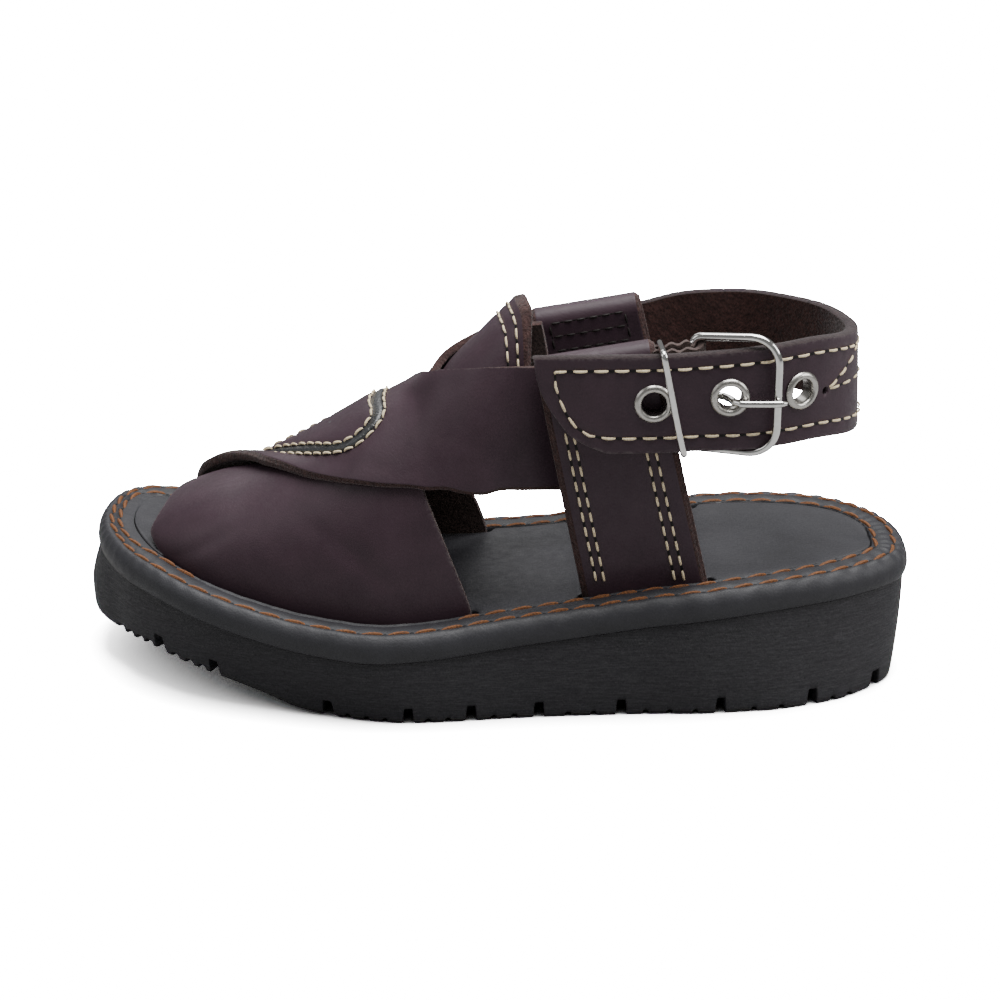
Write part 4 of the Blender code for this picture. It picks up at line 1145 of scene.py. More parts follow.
@dataclass
class CrossStraps:
    """The two wide straps over the foot, their leaf and the tongue under them.

    Edge rows: along and turn, where turn goes from the outer root over the crest to the inner.
    """

    last: LastShape
    leather: float = 0.0019
    over_leather: float = 0.0025
    lap: float = 0.0006
    tongue_gap: float = 0.0006
    rim: float = 0.0002
    root_blend: Pair = (0.84, 0.97)
    leaf_centre: Pair = (0.690, 0.505)
    leaf_crown: float = 0.0013
    leaf_gap: float = 0.0002
    crest_girth: float = 0.115
    collar_rows: Pair = (0.125, 0.215)
    under_front: Rows = (
        (0.898, 0.000), (0.910, 0.080), (0.918, 0.200), (0.915, 0.340), (0.906, 0.500),
        (0.896, 0.600), (0.880, 0.690), (0.830, 0.740), (0.760, 0.760), (0.680, 0.775),
        (0.600, 0.800), (0.530, 0.858), (0.483, 0.911), (0.445, 0.942), (0.428, 0.953))
    under_rear: Rows = (
        (0.536, 0.000), (0.561, 0.079), (0.582, 0.168), (0.596, 0.250), (0.600, 0.330),
        (0.592, 0.420), (0.577, 0.500), (0.560, 0.586), (0.520, 0.665), (0.486, 0.726),
        (0.470, 0.750), (0.458, 0.766), (0.448, 0.778))
    over_front: Rows = (
        (0.390, 0.038), (0.433, 0.050), (0.483, 0.089), (0.530, 0.142), (0.592, 0.216),
        (0.638, 0.253), (0.693, 0.314), (0.731, 0.374), (0.772, 0.473), (0.802, 0.560),
        (0.835, 0.640), (0.862, 0.720), (0.880, 0.850), (0.886, 1.000))
    over_rear: Rows = (
        (0.390, 0.180), (0.425, 0.200), (0.457, 0.231), (0.486, 0.274), (0.520, 0.335),
        (0.560, 0.414), (0.577, 0.500), (0.592, 0.580), (0.600, 0.670), (0.594, 0.760),
        (0.570, 0.860), (0.515, 1.000))
    leaf_outer: Rows = (
        (0.790, 0.545), (0.767, 0.520), (0.726, 0.444), (0.688, 0.388), (0.661, 0.373),
        (0.641, 0.386), (0.630, 0.412), (0.6275, 0.445), (0.629, 0.480))
    leaf_inner: Rows = (
        (0.790, 0.555), (0.767, 0.575), (0.726, 0.610), (0.688, 0.640), (0.661, 0.648),
        (0.641, 0.636), (0.630, 0.606), (0.6275, 0.560), (0.629, 0.515))
    tongue_rear: Rows = (
        (0.464, 0.130), (0.464, 0.238), (0.465, 0.316), (0.467, 0.380), (0.471, 0.443),
        (0.477, 0.550), (0.477, 0.620), (0.473, 0.700), (0.468, 0.780), (0.464, 0.860))
    tongue_front: Rows = (
        (0.555, 0.200), (0.585, 0.300), (0.600, 0.400), (0.605, 0.500), (0.600, 0.600),
        (0.585, 0.700), (0.555, 0.800))

    def build(self, wardrobe: Wardrobe) -> None:
        """Make the straps, the leaf, the tongue and their stitches."""
        self.build_under(wardrobe)
        self.build_over(wardrobe)
        self.build_leaf(wardrobe)
        self.build_tongue(wardrobe)
        self.sew(wardrobe)

    def places(self, front: Rows, rear: Rows, rows: int, columns: int) -> tuple[Grid, Grid, Grid]:
        """Grid of along, turn and share from the front edge, over a strap.

        Args:
            front: front edge.
            rear: rear edge.
            rows: rows from root to root.
            columns: columns from front to rear.

        Returns:
            The three grids.
        """
        long = packed(rows)
        first, last = spline(front, 400), spline(rear, 400)
        at = long * 399
        first, last = (np.stack([np.interp(at, np.arange(400), edge[:, k]) for k in (0, 1)], 1)
                       for edge in (first, last))
        share = packed(columns)[None, :, None]
        grid = first[:, None, :] * (1 - share) + last[:, None, :] * share
        return grid[..., 0], grid[..., 1], np.broadcast_to(share[..., 0], grid.shape[:2])

    def over_low(self, turn: Grid) -> Grid:
        """Height of the over strap's underside above the last."""
        return (self.leather - self.lap) * (1 - ease(turn, *self.root_blend))

    def over_top(self, turn: Grid) -> Grid:
        """Height of the over strap's face above the last."""
        thick = self.over_leather - (self.over_leather - self.leather) * ease(
            turn, *self.root_blend)
        return self.over_low(turn) + thick

    def build_under(self, wardrobe: Wardrobe) -> None:
        """Inner cross strap: from the outer side of the toe, over the foot, under the other."""
        place, turn, share = self.places(self.under_front, self.under_rear, 190, 80)
        swell = 0.0005 * hump(turn, 0.22, 0.14) * hump(place, 0.74, 0.09)
        fold = -0.00045 * hump(place - 0.55 * turn, 0.60, 0.016) * hump(turn, 0.12, 0.09)
        fold = fold - 0.0004 * hump(place + 0.35 * turn, 0.905, 0.014) * hump(turn, 0.16, 0.10)
        free = 1 - ease(turn, 0.30, 0.42)
        relief = (swell + fold) * free * np.sin(math.pi * share) ** 0.5
        build = MeshBuild()
        build.add_sheet(self.last.lifted(place, turn, self.leather + relief),
                        self.last.lifted(place, turn, relief), self.rim)
        build.piece("cross_strap_under", wardrobe.strap, ["upper"])

    def over_relief(self, place: Grid, turn: Grid, share: Grid) -> Grid:
        """Curl of the over strap's front edge and its soft folds."""
        curl = 0.0022 * (1 - ease(share, 0.0, 0.20)) ** 1.2 * hump(turn, 0.61, 0.22)
        ridge = 0.0005 * hump(place + 0.25 * turn, 0.735, 0.018) * hump(turn, 0.30, 0.10)
        trough = -0.0004 * hump(place + 0.10 * turn, 0.585, 0.016) * hump(turn, 0.27, 0.10)
        step = 0.0007 * hump(share, 0.93, 0.09) * hump(turn, 0.45, 0.06)
        return curl + ridge + trough + step

    def build_over(self, wardrobe: Wardrobe) -> None:
        """Outer cross strap: from the inner side of the toe, over the crest, to the outer side."""
        place, turn, share = self.places(self.over_front, self.over_rear, 190, 80)
        relief = self.over_relief(place, turn, share)
        build = MeshBuild()
        bevel = 0.0009 * (1 - ease(share, 0.0, 0.026)) * hump(turn, 0.42, 0.30)
        build.add_sheet(self.last.lifted(place, turn, self.over_top(turn) + relief - bevel),
                        self.last.lifted(place, turn, self.over_low(turn) + relief), self.rim,
                        skive=(4, 0))
        build.piece("cross_strap_over", wardrobe.strap, ["upper"])

    def on_leaf(self, ring: Grid, lift: float) -> Grid:
        """Points of a ring of along and turn, at a lift above the leaf's foot."""
        base = self.leather - self.lap + self.over_leather + self.leaf_gap
        return self.last.lifted(ring[:, 0], ring[:, 1], base + lift)

    def leaf_edge(self, inset: float, count: int) -> Grid:
        """Rows of along and turn round the leaf, moved towards its middle."""
        loop = np.vstack([spline(self.leaf_outer, 200), spline(self.leaf_inner, 200)[::-1]])
        away = loop - self.leaf_centre
        metric = (self.last.sole.last_length, self.crest_girth)
        size = np.linalg.norm(away * metric, axis=1, keepdims=True)
        return resample(loop - away * np.minimum(inset / size, 0.9), count, closed=True)

    def build_leaf(self, wardrobe: Wardrobe) -> None:
        """Raised leaf: a painted, sloping edge between two rows of stitches, and a soft middle."""
        count = 200
        centre = np.array(self.leaf_centre)
        rings, slots = [], []
        profile = ((0.0000, -self.leaf_gap, 1), (0.0001, 0.0003, 1), (0.0005, 0.0006, 1),
                   (0.0012, 0.0007, 1), (0.0019, 0.00065, 1), (0.0022, 0.0007, 0),
                   (0.0026, 0.0009, 0), (0.0034, 0.00105, 0), (0.0050, 0.0012, 0),
                   (0.0080, self.leaf_crown, 0))
        for inset, lift, slot in profile:
            rings.append(self.on_leaf(self.leaf_edge(inset, count), lift))
            slots.append(slot)
        inner = self.leaf_edge(profile[-1][0], count)
        for share in (0.75, 0.5, 0.25, 0.06):
            rings.append(self.on_leaf(centre + (inner - centre) * share, self.leaf_crown))
            slots.append(0)
        outline = self.leaf_edge(0.0, count)
        under = [self.on_leaf(centre + (outline - centre) * share, -self.leaf_gap)
                 for share in (0.06, 0.5)]
        build = MeshBuild()
        rings = np.array(under + rings)
        build.add_rings(rings, lambda k: ([1, 1] + slots)[k], caps=True)
        build.piece("leaf_applique", [wardrobe.grain, wardrobe.paint],
                    ["vamp_leaf"])

    def build_tongue(self, wardrobe: Wardrobe) -> None:
        """Instep band under both straps, with its raw collar edge."""
        place, turn, share = self.places(self.tongue_rear, self.tongue_front, 120, 40)
        pull = -0.00022 * sum(hump(share, row, 0.03) for row in self.collar_rows)
        pull = pull - 0.0007 * (1 - ease(share, 0.0, 0.05))
        top = -self.tongue_gap + pull
        build = MeshBuild()
        build.add_sheet(self.last.lifted(place, turn, top),
                        self.last.lifted(place, turn, -self.tongue_gap - self.leather),
                        self.rim, skive=(5, 0))
        build.piece("tongue_band", wardrobe.strap, ["tongue"])

    def sew(self, wardrobe: Wardrobe) -> None:
        """Cream stitches round the leaf and along the collar."""
        build = MeshBuild()
        bold = Thread(0.00030, 0.0031, 0.80, 0.00028, hole=0.9)
        for inset, lift in ((-0.0005, 0.0), (0.0024, 0.0008)):
            ring = self.leaf_edge(inset, 420)
            x = self.last.sole.place(ring[:, 0])
            bold.sew(build, self.on_leaf(ring, lift), self.last.normal(x, ring[:, 1]), closed=True)
        fine = Thread(0.00027, 0.0034, 0.74, 0.00016, hole=0.9)
        rear, front = spline(self.tongue_rear, 200), spline(self.tongue_front, 200)
        for share in self.collar_rows:
            line = rear + (front - rear) * share
            line = line[(line[:, 1] > 0.22) & (line[:, 1] < 0.78)]
            x = self.last.sole.place(line[:, 0])
            path = self.last.lifted(line[:, 0], line[:, 1], -self.tongue_gap - 0.0001)
            fine.sew(build, path, self.last.normal(x, line[:, 1]))
        build.piece("upper_stitching", [wardrobe.cream, wardrobe.hole])


@dataclass
class Quarter:
    """Upright strap whose top is folded over into a tunnel and sewn down."""

    shape: SoleShape
    side: Side
    tunnel_across: float
    filling: float
    drop: float
    leather: float = 0.0019
    foot: Pair = (-0.0202, -0.0487)
    top: Pair = (-0.0085, -0.0347)
    fold_front: float = 0.0850
    fold_rear: float = 0.0893
    room: float = 0.0004
    strap_width: float = 0.0222
    slack: float = 0.0018
    root_gap: float = 0.0006
    stitch_lines: tuple[float, ...] = (0.13, 0.195, 0.75, 0.825)

    def fold_height(self, share: Grid) -> Grid:
        """Top of the fold at a share of the way from the front edge."""
        return self.fold_front + (self.fold_rear - self.fold_front) * share - self.drop

    def section(self, share: float, count: int) -> tuple[Grid, Grid]:
        """Middle line of the leather in one section, from its foot up and over to its end.

        Args:
            share: place of the section, from the front edge.
            count: points wanted.

        Returns:
            Points and outward normals, both in space.
        """
        side = self.side.value
        foot = self.foot[0] + (self.foot[1] - self.foot[0]) * share
        head = self.top[0] + (self.top[1] - self.top[0]) * share
        top = float(self.fold_height(share))
        base = float(self.shape.tray(foot)) + self.root_gap
        wide = self.shape.half_widths(self.shape.border + self.root_gap, np.array([foot]))
        root = float(wide[0 if side > 0 else 1][0])
        half = self.filling / 2 + self.room
        middle = half + self.leather / 2
        crown = half + self.leather
        low = top - self.leather - self.strap_width - self.slack

        def face(height: Grid) -> Grid:
            """Across place of the strap's outer face at a height."""
            rise = ease(np.asarray(height), base, base + 0.6 * (top - base))
            return root + (self.tunnel_across + side * crown - root) * rise

        up = np.linspace(base, top - crown, 60)
        points = [np.stack([face(up) - side * self.leather / 2, up], 1)]
        turn = np.linspace(0, math.pi, 26)[1:-1]
        points.append(np.stack([self.tunnel_across + side * middle * np.cos(turn),
                                top - crown + middle * np.sin(turn)], 1))
        down = np.linspace(top - crown, low - 0.0005, 30)
        points.append(np.stack([np.full(30, self.tunnel_across - side * middle), down], 1))
        tail = np.linspace(0, 1, 16)[1:]
        height = low - 0.0005 - tail * 0.0105
        goal = face(height) - side * 1.55 * self.leather
        start = self.tunnel_across - side * middle
        points.append(np.stack([start + (goal - start) * ease(tail, 0.0, 0.55), height], 1))
        plane = resample(np.vstack(points), count)
        ahead = unit(np.gradient(plane, axis=0))
        outward = np.stack([ahead[:, 1], -ahead[:, 0]], 1) * side
        lean = (plane[:, 1] - base) / (top - base)
        spots = np.column_stack([foot + (head - foot) * lean, plane])
        return spots, np.column_stack([np.zeros(count), outward])

    def build(self, wardrobe: Wardrobe, name: str, node: str) -> None:
        """Make the strap and its stitches.

        Args:
            wardrobe: the finishes.
            name: the piece's name.
            node: the solid that it replaces.
        """
        rows, columns = 150, 44
        share = packed(columns)
        spots, normals = zip(*(self.section(float(s), rows) for s in share))
        spots, normals = np.stack(spots, 1), np.stack(normals, 1)
        long = np.linspace(0, 1, rows)[:, None]
        free = ease(long, 0.02, 0.08) * (1 - ease(long, 0.42, 0.5))
        pull = np.zeros((rows, columns))
        if self.side is Side.OUTER:
            for line in self.stitch_lines:
                pull = pull - 0.00020 * hump(share, line, 0.016)[None, :] * free
        bow = 0.0004 * np.sin(math.pi * share)[None, :] * free
        pull = pull - 0.0008 * (1 - ease(np.minimum(share, 1 - share), 0.0, 0.045))[None, :]
        half = self.leather / 2
        build = MeshBuild()
        build.add_sheet(spots + normals * (half + pull + bow)[..., None],
                        spots - normals * (half - bow)[..., None], 0.0002, skive=(4, 4))
        build.piece(name, wardrobe.strap, [node])
        if self.side is Side.OUTER:
            self.sew_face(wardrobe)
        self.sew_box(wardrobe)

    def sew_face(self, wardrobe: Wardrobe) -> None:
        """Two double rows of cream stitches up the outer face."""
        build = MeshBuild()
        thread = Thread(0.00030, 0.0040, 0.66, 0.00014, hole=1.0)
        for line in self.stitch_lines:
            spots, normals = self.section(line, 300)
            bow = 0.0004 * math.sin(math.pi * line)
            path = spots + normals * (self.leather / 2 - 0.00012 + bow)
            keep = (np.arange(300) < 150) & (spots[:, 2] > 0.0305) & (spots[:, 2] < 0.0690)
            thread.sew(build, path[keep], normals[keep])
        build.piece("quarter_stitching", [wardrobe.cream, wardrobe.hole])

    def sew_box(self, wardrobe: Wardrobe) -> None:
        """Dark stitches in level rows across the folded-down leg, and up its two sides."""
        build = MeshBuild()
        thread = Thread(0.00028, 0.0032, 0.7, 0.00012, hole=0.9)
        top = float(self.fold_height(0.5))
        falls = (0.0032, 0.0066, 0.0100)
        shares = np.linspace(0.16, 0.84, 40)
        runs = [[(share, fall) for share in shares] for fall in falls]
        runs += [[(share, fall) for fall in np.linspace(falls[0], falls[-1], 24)]
                 for share in (shares[0], shares[-1])]
        for run in runs:
            path, up = [], []
            for share, fall in run:
                spots, normals = self.section(float(share), 300)
                later = np.arange(300) > 190
                height = top - fall + (self.fold_rear - self.fold_front) * (share - 0.5)
                best = int(np.where(later, np.abs(spots[:, 2] - height), 1).argmin())
                path.append(spots[best] + normals[best] * (self.leather / 2 - 0.0001))
                up.append(normals[best])
            thread.sew(build, np.array(path), np.array(up))
        build.piece(f"tunnel_stitching_{self.side.name.lower()}",
                    [wardrobe.dark, wardrobe.hole])


@dataclass
class HeelStrap:
    """Lined strap round the heel, with its eyelets, stitches, punched hole and buckle."""

    outer_quarter: Quarter
    inner_quarter: Quarter
    leather: float = 0.003
    width: float = 0.0222
    across: float = 0.0305012
    tip: float = -0.0082
    bend: float = -0.0512
    back: float = 0.0305
    end: float = -0.0122
    flare: float = 0.0015
    row_drop: float = 0.0029
    row_rise: float = 0.0035
    top_rows: Rows = ((0.00, 0.0870), (0.16, 0.0872), (0.30, 0.0887), (0.36, 0.0890),
                      (0.50, 0.0862), (0.68, 0.0866), (1.00, 0.0840))
    tip_rows: Rows = ((0.000, 0.96), (0.007, 0.70), (0.031, 0.36), (0.052, 0.17),
                      (0.085, 0.035), (0.100, 0.00), (1.000, 0.00))
    eyelet_radius: float = 0.0044
    eyelet_hole: float = 0.00265
    eyelet_backs: tuple[float, ...] = (-0.0348, -0.0515, -0.0672)
    eyelet_drops: tuple[float, ...] = (0.0106, 0.0103, 0.0111)
    punched_back: float = -0.0725
    punched_drop: float = 0.0121
    wire: float = 0.0009
    prong: float = 0.00085
    prong_drop: float = 0.0008
    bar_back: float = -0.0437
    frame_length: float = 0.0184
    frame_room: Pair = (0.0001, 0.0005)
    frame_corner: float = 0.0062
    frame_rise: float = 0.0014
    keeper_top_back: float = -0.0365
    keeper_lean: float = 0.0051
    keeper_room: Pair = (0.0001, 0.0004)
    chape_leather: float = 0.0024
    chape_bend: float = 0.65
    chape_width: float = 0.0212
    gap: float = 0.0003

    def __post_init__(self) -> None:
        """Work out the strap's middle line in plan."""
        inner = self.inner_quarter.tunnel_across
        centre, half = (self.across + inner) / 2, (self.across - inner) / 2
        power = 2 / 1.9
        points = [(self.tip + (self.bend - self.tip) * t, self.across)
                  for t in np.linspace(0, 1, 60, endpoint=False)]
        for turn in np.linspace(0, math.pi, 160):
            away, side = math.sin(turn), math.cos(turn)
            points.append((self.bend - self.back * max(away, 0) ** power,
                           centre + half * math.copysign(abs(side) ** power, side)))
        points += [(self.bend + (self.end - self.bend) * t, inner)
                   for t in np.linspace(0, 1, 61)[1:]]
        self.route = resample(np.array(points), 1200)
        tangent = unit(np.gradient(self.route, axis=0))
        self.outward = np.stack([tangent[:, 1], -tangent[:, 0]], 1)
        self.eyelets = tuple((back, self.top_at(back) - drop)
                             for back, drop in zip(self.eyelet_backs, self.eyelet_drops))
        self.punched = (self.punched_back, self.top_at(self.punched_back) - self.punched_drop)

    def read(self, share: Grid) -> tuple[Grid, Grid]:
        """Point and outward vector in plan at shares of the strap's length."""
        at = np.asarray(share) * (len(self.route) - 1)
        grid = np.arange(len(self.route))
        spot = np.stack([np.interp(at, grid, self.route[:, k]) for k in (0, 1)], -1)
        out = np.stack([np.interp(at, grid, self.outward[:, k]) for k in (0, 1)], -1)
        return spot, unit(out)

    def heights(self, share: Grid) -> tuple[Grid, Grid]:
        """Top and bottom edge of the strap."""
        spot, _ = self.read(share)
        front, rear = self.inner_quarter.top
        run = ease(spot[..., 0], self.bend, rear) * (spot[..., 1] < 0)
        quarter = (spot[..., 0] - front) / (rear - front)
        tunnel = (self.inner_quarter.fold_height(quarter) - self.inner_quarter.leather
                  - 0.55 * self.inner_quarter.slack)
        top = monotone(self.top_rows, share) * (1 - run) + tunnel * run
        deep = self.width + 0.0008 * ease(share, 0.2, 0.3) * (1 - ease(share, 0.5, 0.6))
        return top, top - deep * (1 - monotone(self.tip_rows, share))

    def top_at(self, back: float) -> float:
        """Height of the strap's top edge on its outer run."""
        return float(monotone(self.top_rows, np.array(self.share_at(back))))

    def tab_top(self, back: float) -> float:
        """Height of the tab's top edge in the outer quarter's tunnel."""
        quarter = self.outer_quarter
        share = (back - quarter.top[0]) / (quarter.top[1] - quarter.top[0])
        return float(quarter.fold_height(share)) - quarter.leather - quarter.slack / 2

    def span(self, strap: Sequence[float], tab: Sequence[float],
             room: Pair) -> Pair:
        """Bottom and top of the strap and the tab at some places, with room.

        Args:
            strap: places on X where the strap passes.
            tab: places on X where the tab passes.
            room: clearance below and above.

        Returns:
            The two heights.
        """
        tops = [self.top_at(back) for back in strap]
        tabs = [self.tab_top(back) for back in tab]
        low = min(min(tops) - self.width, min(tabs) - self.chape_width)
        return low - room[0], max(tops + tabs) + room[1]

    def share_at(self, back: float) -> float:
        """Share of the length where the outer run passes the place back on X."""
        outer = self.route[:, 1] > 0.0045
        best = int(np.where(outer, np.abs(self.route[:, 0] - back), 1).argmin())
        return best / (len(self.route) - 1)

    def place(self, share: Grid, height: Grid, out: Grid) -> tuple[Grid, Grid]:
        """Point at a share, a height and a distance out from the middle line, and its normal."""
        spot, outward = self.read(share)
        spot = spot + outward * np.asarray(out)[..., None]
        height = np.broadcast_to(height, spot.shape[:-1])
        return (np.concatenate([spot, height[..., None]], -1),
                np.concatenate([outward, np.zeros_like(height)[..., None]], -1))

    def build(self, wardrobe: Wardrobe) -> None:
        """Make the strap and everything on it."""
        self.build_strap(wardrobe)
        self.sew(wardrobe)
        self.build_eyelets(wardrobe)
        self.build_buckle(wardrobe)
        self.build_chape(wardrobe)

    def build_strap(self, wardrobe: Wardrobe) -> None:
        """Outer leather and suede lining as one thick strap, with its holes cut."""
        share = np.concatenate([np.linspace(0, 0.1, 60), np.linspace(0.1, 1, 281)[1:]])
        top, low = self.heights(share)
        across = packed(34)
        z = top[:, None] + (low - top)[:, None] * across[None, :]
        grid_share = np.broadcast_to(share[:, None], z.shape)
        depth_top = (z - top[:, None]) * -1
        depth_low = z - low[:, None]
        body = ease(grid_share, 0.012, 0.05)
        pull = -0.00018 * body * (hump(depth_top, self.row_drop, 0.0006)
                                  + hump(depth_low, self.row_rise, 0.0006))
        puff = 0.00012 * np.sin(math.pi * across)[None, :] ** 0.5
        wave = 0.00022 * np.sin(55 * grid_share + 3 * across[None, :]) * ease(grid_share, 0.35, 0.5)
        flare = self.flare_at(grid_share) * across[None, :]
        half = self.leather / 2
        outer, _ = self.place(grid_share, z, half + pull + puff - 0.0001 + wave + flare)
        inner, _ = self.place(grid_share, z, -half + wave + flare)
        build = MeshBuild()
        build.add_sheet(outer, inner, 0.0003)
        thing = build.piece("heel_strap_lined",
                            (wardrobe.grain, wardrobe.sealed, wardrobe.lining),
                            ["heel_strap"])
        self.punch(thing)

    def punch(self, thing: bpy.types.Object) -> None:
        """Cut the eyelets' holes and the small punched hole through the strap."""
        cutters = MeshBuild()
        for back, height, radius in (*((b, h, self.eyelet_hole + 0.0006) for b, h in self.eyelets),
                                     (*self.punched, 0.0009)):
            spot, out = self.place(np.array([self.share_at(back)]), height, np.array([0.0]))
            line = spot + out * np.array([-0.006, 0.006])[:, None]
            cutters.add_tube(line, radius, around=40)
        cutter = cutters.piece("hole_cutter", [])
        modifier = thing.modifiers.new("holes", "BOOLEAN")
        modifier.operation = "DIFFERENCE"
        modifier.solver = "EXACT"
        modifier.object = cutter
        graph = bpy.context.evaluated_depsgraph_get()
        cut = bpy.data.meshes.new_from_object(thing.evaluated_get(graph))
        thing.modifiers.clear()
        thing.data = cut
        bpy.data.objects.remove(cutter)

    def sew(self, wardrobe: Wardrobe) -> None:
        """Cream rows along both edges and round the tip, and the pointed pair at the heel."""
        build = MeshBuild()
        thread = Thread(0.00032, 0.0046, 0.70, 0.00016, hole=0.9)
        face = self.leather / 2 - 0.00008
        ring_share = np.linspace(0.985, 0.026, 600)
        top, low = self.heights(ring_share)
        over = np.column_stack([ring_share, top - self.row_drop])
        under_share = np.linspace(0.098, 0.985, 560)
        top, low = self.heights(under_share)
        under = np.column_stack([under_share, low + self.row_rise])
        corner = self.tip_line()
        line = np.vstack([over, corner, under])
        spot, out = self.place(line[:, 0], line[:, 1], face + self.lean(line[:, 0], line[:, 1]))
        path = resample(np.hstack([spot, out]), 1800)
        thread.sew(build, path[:, :3], unit(path[:, 3:]))
        start = self.share_at(self.punched[0]) + 0.0045
        for rise in (0.0062, -0.0004):
            share = np.linspace(start, 0.505, 200)
            climb = np.clip((share - start) / 0.075, 0, 1)
            height = self.punched[1] + 0.0002 + rise * climb
            spot, out = self.place(share, height, face + self.lean(share, height))
            thread.sew(build, spot, out)
        build.piece("heel_strap_stitching", [wardrobe.cream, wardrobe.hole])

    def lean(self, share: Grid, height: Grid) -> Grid:
        """How far the strap stands out at a height, where it flares behind the heel."""
        top, low = self.heights(share)
        return self.flare_at(share) * np.clip((top - height) / (top - low), 0, 1)

    def flare_at(self, share: Grid) -> Grid:
        """How far the strap's lower edge stands out behind the heel."""
        back = self.read(share)[0][..., 0]
        return self.flare * np.clip((self.bend - back) / self.back, 0, 1) ** 2

    def tip_line(self) -> Grid:
        """Stitch line round the strap's pointed tip, as shares and heights."""
        rows = [(0.0258, 0.0839), (0.0262, 0.0825), (0.0300, 0.0796), (0.0390, 0.0755),
                (0.0500, 0.0722), (0.0640, 0.0698), (0.0800, 0.0689)]
        return spline(rows, 60)

    def build_eyelets(self, wardrobe: Wardrobe) -> None:
        """Rolled nickel rings, one piece for each eyelet."""
        hole, radius, half = self.eyelet_hole, self.eyelet_radius, self.leather / 2
        profile = ((hole + 0.0002, -half - 0.0002), (hole, -half + 0.0003), (hole, half - 0.0002),
                   (hole + 0.00008, half + 0.0003), (hole + 0.0003, half + 0.0007),
                   (hole + 0.0007, half + 0.00088), (radius - 0.0006, half + 0.0008),
                   (radius - 0.0002, half + 0.0005), (radius, half + 0.0002),
                   (radius - 0.00005, half + 0.00005), (hole + 0.0005, half + 0.00002),
                   (hole + 0.0004, -half - 0.0001))
        for index, (back, height) in enumerate(self.eyelets):
            spot, out = self.place(np.array([self.share_at(back)]), height, np.array([0.0]))
            axis = out[0]
            level = np.cross(axis, (0, 0, 1))
            turn = np.linspace(0, math.tau, 56, endpoint=False)
            around = np.outer(np.cos(turn), level) + np.outer(np.sin(turn), (0, 0, 1))
            rings = np.array([spot[0] + axis * h + around * r for r, h in profile])
            build = MeshBuild()
            build.add_rings(rings, loop=True)
            build.piece(f"eyelet_ring_{index + 1}", [wardrobe.satin],
                        [f"eyelet_{index + 1}"])

    def bar_across(self) -> float:
        """Middle of the buckle's hidden bar."""
        return (self.across - self.leather / 2 - 2 * self.gap - self.chape_leather * self.chape_bend
                - self.wire)

    def open_bar_across(self) -> float:
        """Middle of the buckle's open bar."""
        return self.across + self.leather / 2

    @staticmethod
    def rounded_box(left: float, right: float, low: float, high: float,
                    corners: Sequence[float], steps: int = 12) -> Grid:
        """Closed route round a box with rounded corners, from the lower left one.

        Args:
            left: lowest place.
            right: highest place.
            low: lower side.
            high: upper side.
            corners: the four radii.
            steps: points in each corner.

        Returns:
            The route's points.
        """
        spots = (((left, low), 180, corners[0]), ((right, low), 270, corners[1]),
                 ((right, high), 0, corners[2]), ((left, high), 90, corners[3]))
        points = []
        for (u, v), start, radius in spots:
            cu = u + radius if u == left else u - radius
            cv = v + radius if v == low else v - radius
            for k in range(steps):
                angle = math.radians(start + 90 * k / (steps - 1))
                points.append((cu + radius * math.cos(angle), cv + radius * math.sin(angle)))
        return np.array(points)

    def build_buckle(self, wardrobe: Wardrobe) -> None:
        """Rounded frame, prong and keeper loop, all of bright wire."""
        front = self.bar_back - self.frame_length
        small = self.frame_corner * 0.26
        low, high = self.span((self.bar_back, front), (self.bar_back,), self.frame_room)
        flat = self.rounded_box(front, self.bar_back, low - self.wire, high + self.wire,
                                (self.frame_corner, small, small, self.frame_corner))
        flat = resample(flat, 160, closed=True)
        share = np.clip((self.bar_back - flat[:, 0]) / self.frame_length, 0.0, 1.0)
        y = self.bar_across() + (self.open_bar_across() - self.bar_across()) * share
        z = flat[:, 1] + self.frame_rise * share * (flat[:, 1] - low) / (high - low)
        build = MeshBuild()
        build.add_tube(np.column_stack([flat[:, 0], y, z]), self.wire * 1.04, 16, closed=True)
        build.piece("buckle_frame_wire", [wardrobe.bright], ["buckle_frame"])
        inner = (self.outer_quarter.tunnel_across - self.chape_leather / 2 - self.gap
                 - 2 * self.wire)
        outer = self.across + self.leather / 2 + 2 * self.gap + 0.0006 + self.wire
        ends = (self.keeper_top_back, self.keeper_top_back - self.keeper_lean)
        low, high = self.span(ends, ends, self.keeper_room)
        low, high = low - 0.9 * self.wire, high + 0.9 * self.wire
        loop = resample(self.rounded_box(inner, outer, low, high, (0.0012,) * 4), 140,
                        closed=True)
        lean = (high - loop[:, 1]) / (high - low)
        back = self.keeper_top_back - self.keeper_lean * lean
        sink = 0.0014 * (1 - lean) ** 8 * (outer - loop[:, 0]) / (outer - inner)
        lift = 0.0011 * lean ** 8 * (loop[:, 0] - inner) / (outer - inner)
        loop = loop + np.column_stack([0 * sink, lift - sink])
        build = MeshBuild()
        build.add_tube(np.column_stack([back, loop]), 0.9 * self.wire, 14, closed=True)
        build.piece("keeper_wire", [wardrobe.bright], ["strap_keeper"])
        self.build_prong(wardrobe)

